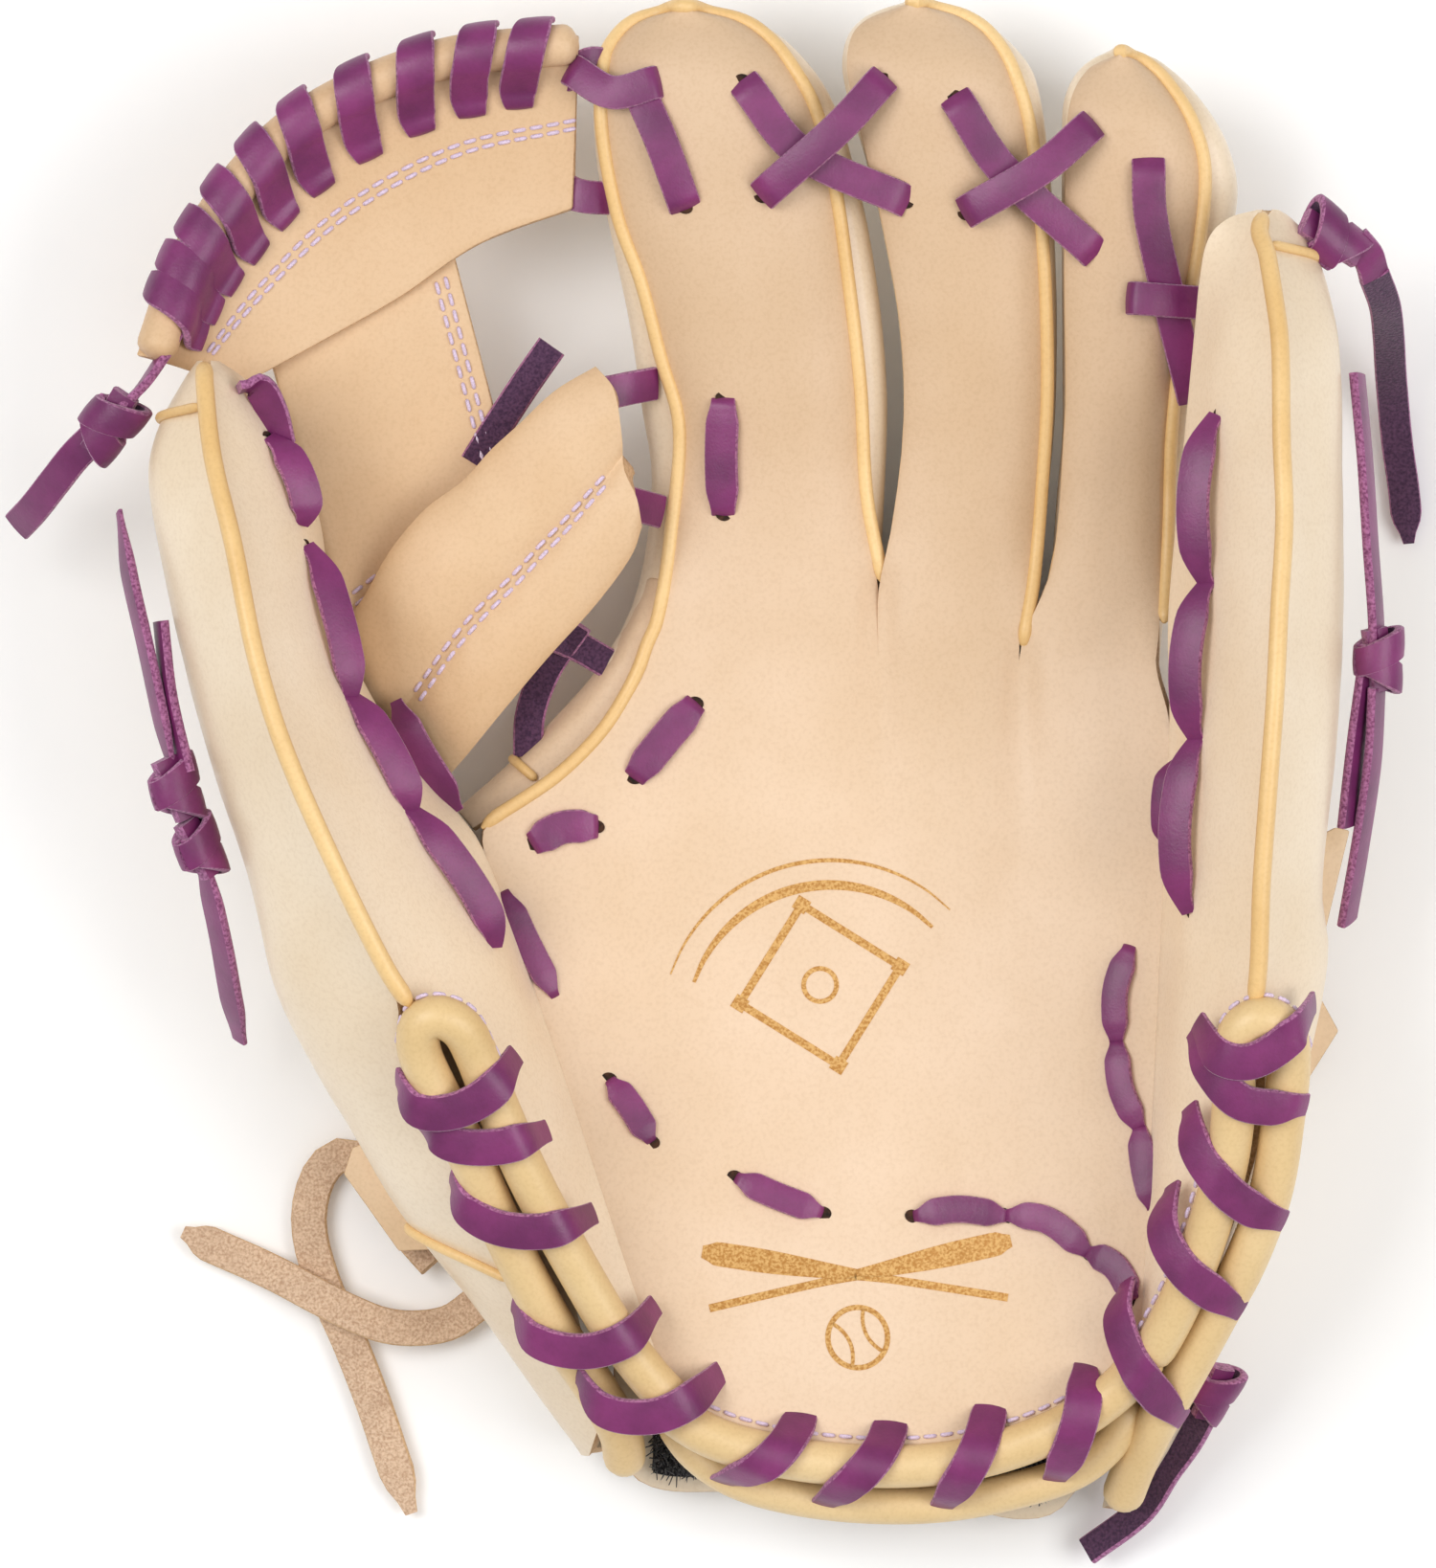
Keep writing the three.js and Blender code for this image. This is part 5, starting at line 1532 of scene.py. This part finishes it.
def foil_line(points, width, steps=24):
    """Quads along a line, so that the foil follows the leather."""
    path = spline([(x, y, 0) for x, y in points], steps)[:, :2]
    d = unit(np.gradient(path, axis=0))
    side = np.column_stack([-d[:, 1], d[:, 0]])
    t = np.linspace(0, 1, len(path))
    half = np.array([width(u) if callable(width) else width for u in t]) / 2
    a, b = path + side * half[:, None], path - side * half[:, None]
    return [[tuple(a[k]), tuple(a[k + 1]), tuple(b[k + 1]), tuple(b[k])]
            for k in range(len(path) - 1)]


def turned(points, centre, degrees):
    c, s = math.cos(math.radians(degrees)), math.sin(math.radians(degrees))
    return [(centre[0] + c * x - s * y, centre[1] + s * x + c * y) for x, y in points]


def build_foil():
    shapes = []
    centre, tilt, half = (-15.0, 92.0), 13.0, 15.5
    home, first, second, third = (0, -half), (half, 0), (0, half), (-half, 0)
    for a, b in ((home, first), (first, second), (second, third), (third, home)):
        middle = ((a[0] + b[0]) / 2, (a[1] + b[1]) / 2)
        shapes += foil_line(turned([a, middle, b], centre, tilt), 1.5)
    for reach, width in ((1.75, 1.9), (2.05, 0.8)):
        arc = [(half * reach * math.cos(a), -half * 0.55 + half * reach * math.sin(a))
               for a in np.linspace(math.radians(32), math.radians(148), 13)]
        shapes += foil_line(turned(arc, centre, tilt),
                            lambda u, w=width: w * (0.35 + 0.65 * math.sin(math.pi * u)), 48)
    for x, y in (home, first, second, third):
        shapes.append(turned([(x - 1.9, y), (x, y - 1.9), (x + 1.9, y), (x, y + 1.9)], centre, tilt))
    ring = circle(3.1, 24)
    shapes += foil_line(turned(ring + ring[:1], centre, tilt), 0.9, 40)
    bats = (-8.0, 37.5)
    for way in (1, -1):
        line = [(-28 * way, -5.0), (-10 * way, -1.6), (8 * way, 1.6), (29 * way, 5.6)]
        shapes += foil_line(turned(line, bats, 2), lambda u: 1.5 + 3.0 * smoothstep(0.35, 0.85, u)
                            - 2.2 * smoothstep(0.95, 1.0, u), 48)
    ball, ball_r = (-8.0, 26.0), 5.6
    outline = circle(ball_r, 32)
    shapes += foil_line(turned(outline + outline[:1], ball, 3), 1.0, 60)
    for way in (1, -1):
        seam = [(way * (1.7 + 1.5 * (t / 4.4) ** 2), t) for t in np.linspace(-4.4, 4.4, 9)]
        shapes += foil_line(turned(seam, ball, 25), 0.7, 20)
    obj = merged("foil_decoration", [foil(shape) for shape in shapes], [FOIL], sharp=30)
    declare(obj, "tan", "palm")


# ---- Camera, light and floor
def build_stage():
    camera = bpy.data.cameras.new("camera")
    camera.sensor_width = 36.0
    camera.lens = camera.sensor_width * CAMERA_PLACE[2] / FRAME_HEIGHT
    camera.clip_end = 20.0
    rig = bpy.data.objects.new("camera", camera)
    bpy.context.scene.collection.objects.link(rig)
    rig.location = place(CAMERA_PLACE)
    bpy.context.scene.camera = rig
    bpy.ops.mesh.primitive_plane_add(size=6.0, location=(0, 0, -0.4 * MM))
    floor = bpy.context.object
    floor.name = "floor"
    mat, _, shader = material("pale_floor")
    shader.inputs["Base Color"].default_value = (0.98, 0.98, 0.98, 1)
    shader.inputs["Roughness"].default_value = 0.9
    floor.data.materials.append(mat)
    world = bpy.data.worlds.new("studio")
    bpy.context.scene.world = world
    world.use_nodes = True
    background = world.node_tree.nodes["Background"]
    background.inputs["Color"].default_value = (1.0, 1.0, 1.0, 1)
    background.inputs["Strength"].default_value = 0.43
    for name, spot, size, power in (("key", (-0.75, 0.25, 1.35), 0.8, 11.4),
                                    ("fill", (1.0, -0.15, 1.25), 0.9, 10.4),
                                    ("top", (0.1, 0.1, 2.0), 1.5, 4.6)):
        light = bpy.data.lights.new(name, "AREA")
        light.size = size
        light.energy = power
        lamp = bpy.data.objects.new(name, light)
        lamp.location = spot
        lamp.rotation_euler = (-Vector(spot)).to_track_quat("-Z", "Y").to_euler()
        bpy.context.scene.collection.objects.link(lamp)
    bpy.context.scene.view_settings.view_transform = "Standard"


def index_links():
    """Laces that tie the web to the index finger and to the wall below it."""
    behind = (0, 0, -1)
    return [
        lace([(-63, 262, 12), (-60, 263.4, 14), (-57.6, 264.4, 14), (-54.6, 264, 12)],
             (0.1, 1, 0.2), 14),
        lace([(-63.5, 241.5, 6), (-60, 240, 7.4), (-55.6, 239.6, 7), (-52.6, 240, 4)],
             (0.1, 1, 0), 14),
        lace([(-60, 203, 9), (-55.6, 203, 8.6), (-50.6, 204, 7), (-46, 205, 3)], (0.1, 1, 0.1), 14),
        lace([(-54.6, 183, 8), (-51.6, 182.6, 7.6), (-49, 182, 5), (-45, 181, 0)],
             (0.1, 1, 0.1), 14),
        lace([(-65.4, 212, 3), (-70.6, 204.6, 2.4), (-75.6, 197, 1.6), (-80, 190, 1)],
             (0.8, -0.56, 0), 16, 5.8, out=behind),
        lace([(-66, 158, 1), (-60, 155.4, -3.5), (-54, 152, -5), (-48, 149, -6)],
             (0.3, 1, 0), 16, 5.8, out=behind),
        lace([(-60.6, 160, 0), (-66.4, 151.6, -4), (-69.6, 143, -5.6), (-70, 135, -6.4)],
             (1, -0.4, 0), 20, 5.8, out=behind),
        lace([(-94.6, 145.4, 5.6), (-91.6, 138.4, 7.6), (-87.4, 131.4, 7.4), (-83, 124.8, 4)],
             (1, 0.5, 0.2), 24, 6.0, pinch=0.4),
    ]


def build_crease_laces():
    """Laces that run beside both creases on the palm."""
    thumb_run = palm_stitch([(-74.4, 110), (-70.4, 101), (-64.6, 89.6)], width=5, pinch=0.35)
    laces("thumb_crease_lacing", [thumb_run], "palm", "palm_lace_thumb_a")
    laces("pinky_crease_lacing", [palm_stitch(plan, width=5, pinch=0.5) for plan in (
        [(43, 99.6), (40.2, 91), (40.4, 81)], [(40.4, 82), (41.2, 73), (44.8, 65)],
        [(44.6, 66), (45.4, 58), (47.4, 50)])], "palm", "palm_lace_side")


def build_face_laces():
    """Laces up the inner faces of thumb and little finger."""
    thumb_runs = face_run("thumb", lambda y: lerp(0.40, 0.50, (y - 98) / 100),
                          [(99.5, 125.5, 1.6), (124.5, 146.5, 1.6), (145.5, 174, 2.0),
                           (178, 194, 1.5)], 1.9)
    thumb_runs.append(lace([(-123, 203, 31), (-119.6, 203.5, 30), (-117, 199, 28), (-115.6, 193, 26)],
                           (0.9, 0.3, 0.4), 20))
    laces("thumb_face_lacing", thumb_runs, "thumb", "thumb_lace")
    pinky_runs = face_run("pinky", lambda y: 0.42,
                          [(106, 138.6, 2.4), (137.6, 167.4, 2.6), (166.4, 198, 2.6)], 1.9)
    pinky_runs += face_run("pinky", lambda y: 0.14, [(118, 134, 1.0)], 0.9)
    laces("pinky_face_lacing", pinky_runs, "pinky", "pinky_lace")


# ---- Assembly
build_stage()
build_free_ends()
build_palm()
fold_faces = {}
for name in FOLDS:
    fold_faces[name] = build_face(name)
    build_shell(name)
for finger in fingers:
    finger_back(finger)
build_rolls()
build_welts()
build_crotch()
heel_sewing()
cross_piping()
web_objects = build_web()
web_objects.append(laces("web_edge_lacing", web_wraps(), None, "web_lace"))
web_objects.append(laces("web_index_links", index_links(), None, "web_index_lace"))
build_palm_laces()
finger_laces()
build_crease_laces()
build_face_laces()
build_heel_laces()
build_knots()
build_back()
build_pads()
build_foil()
for body, parts in holes.items():
    declare(merged(f"{body}_lace_holes", parts, [HOLE_SHADOW], sharp=30), "leather", body)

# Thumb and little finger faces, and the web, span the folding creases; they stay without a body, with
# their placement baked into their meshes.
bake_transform(fold_faces["thumb"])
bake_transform(fold_faces["pinky"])
for obj in web_objects:
    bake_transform(obj)
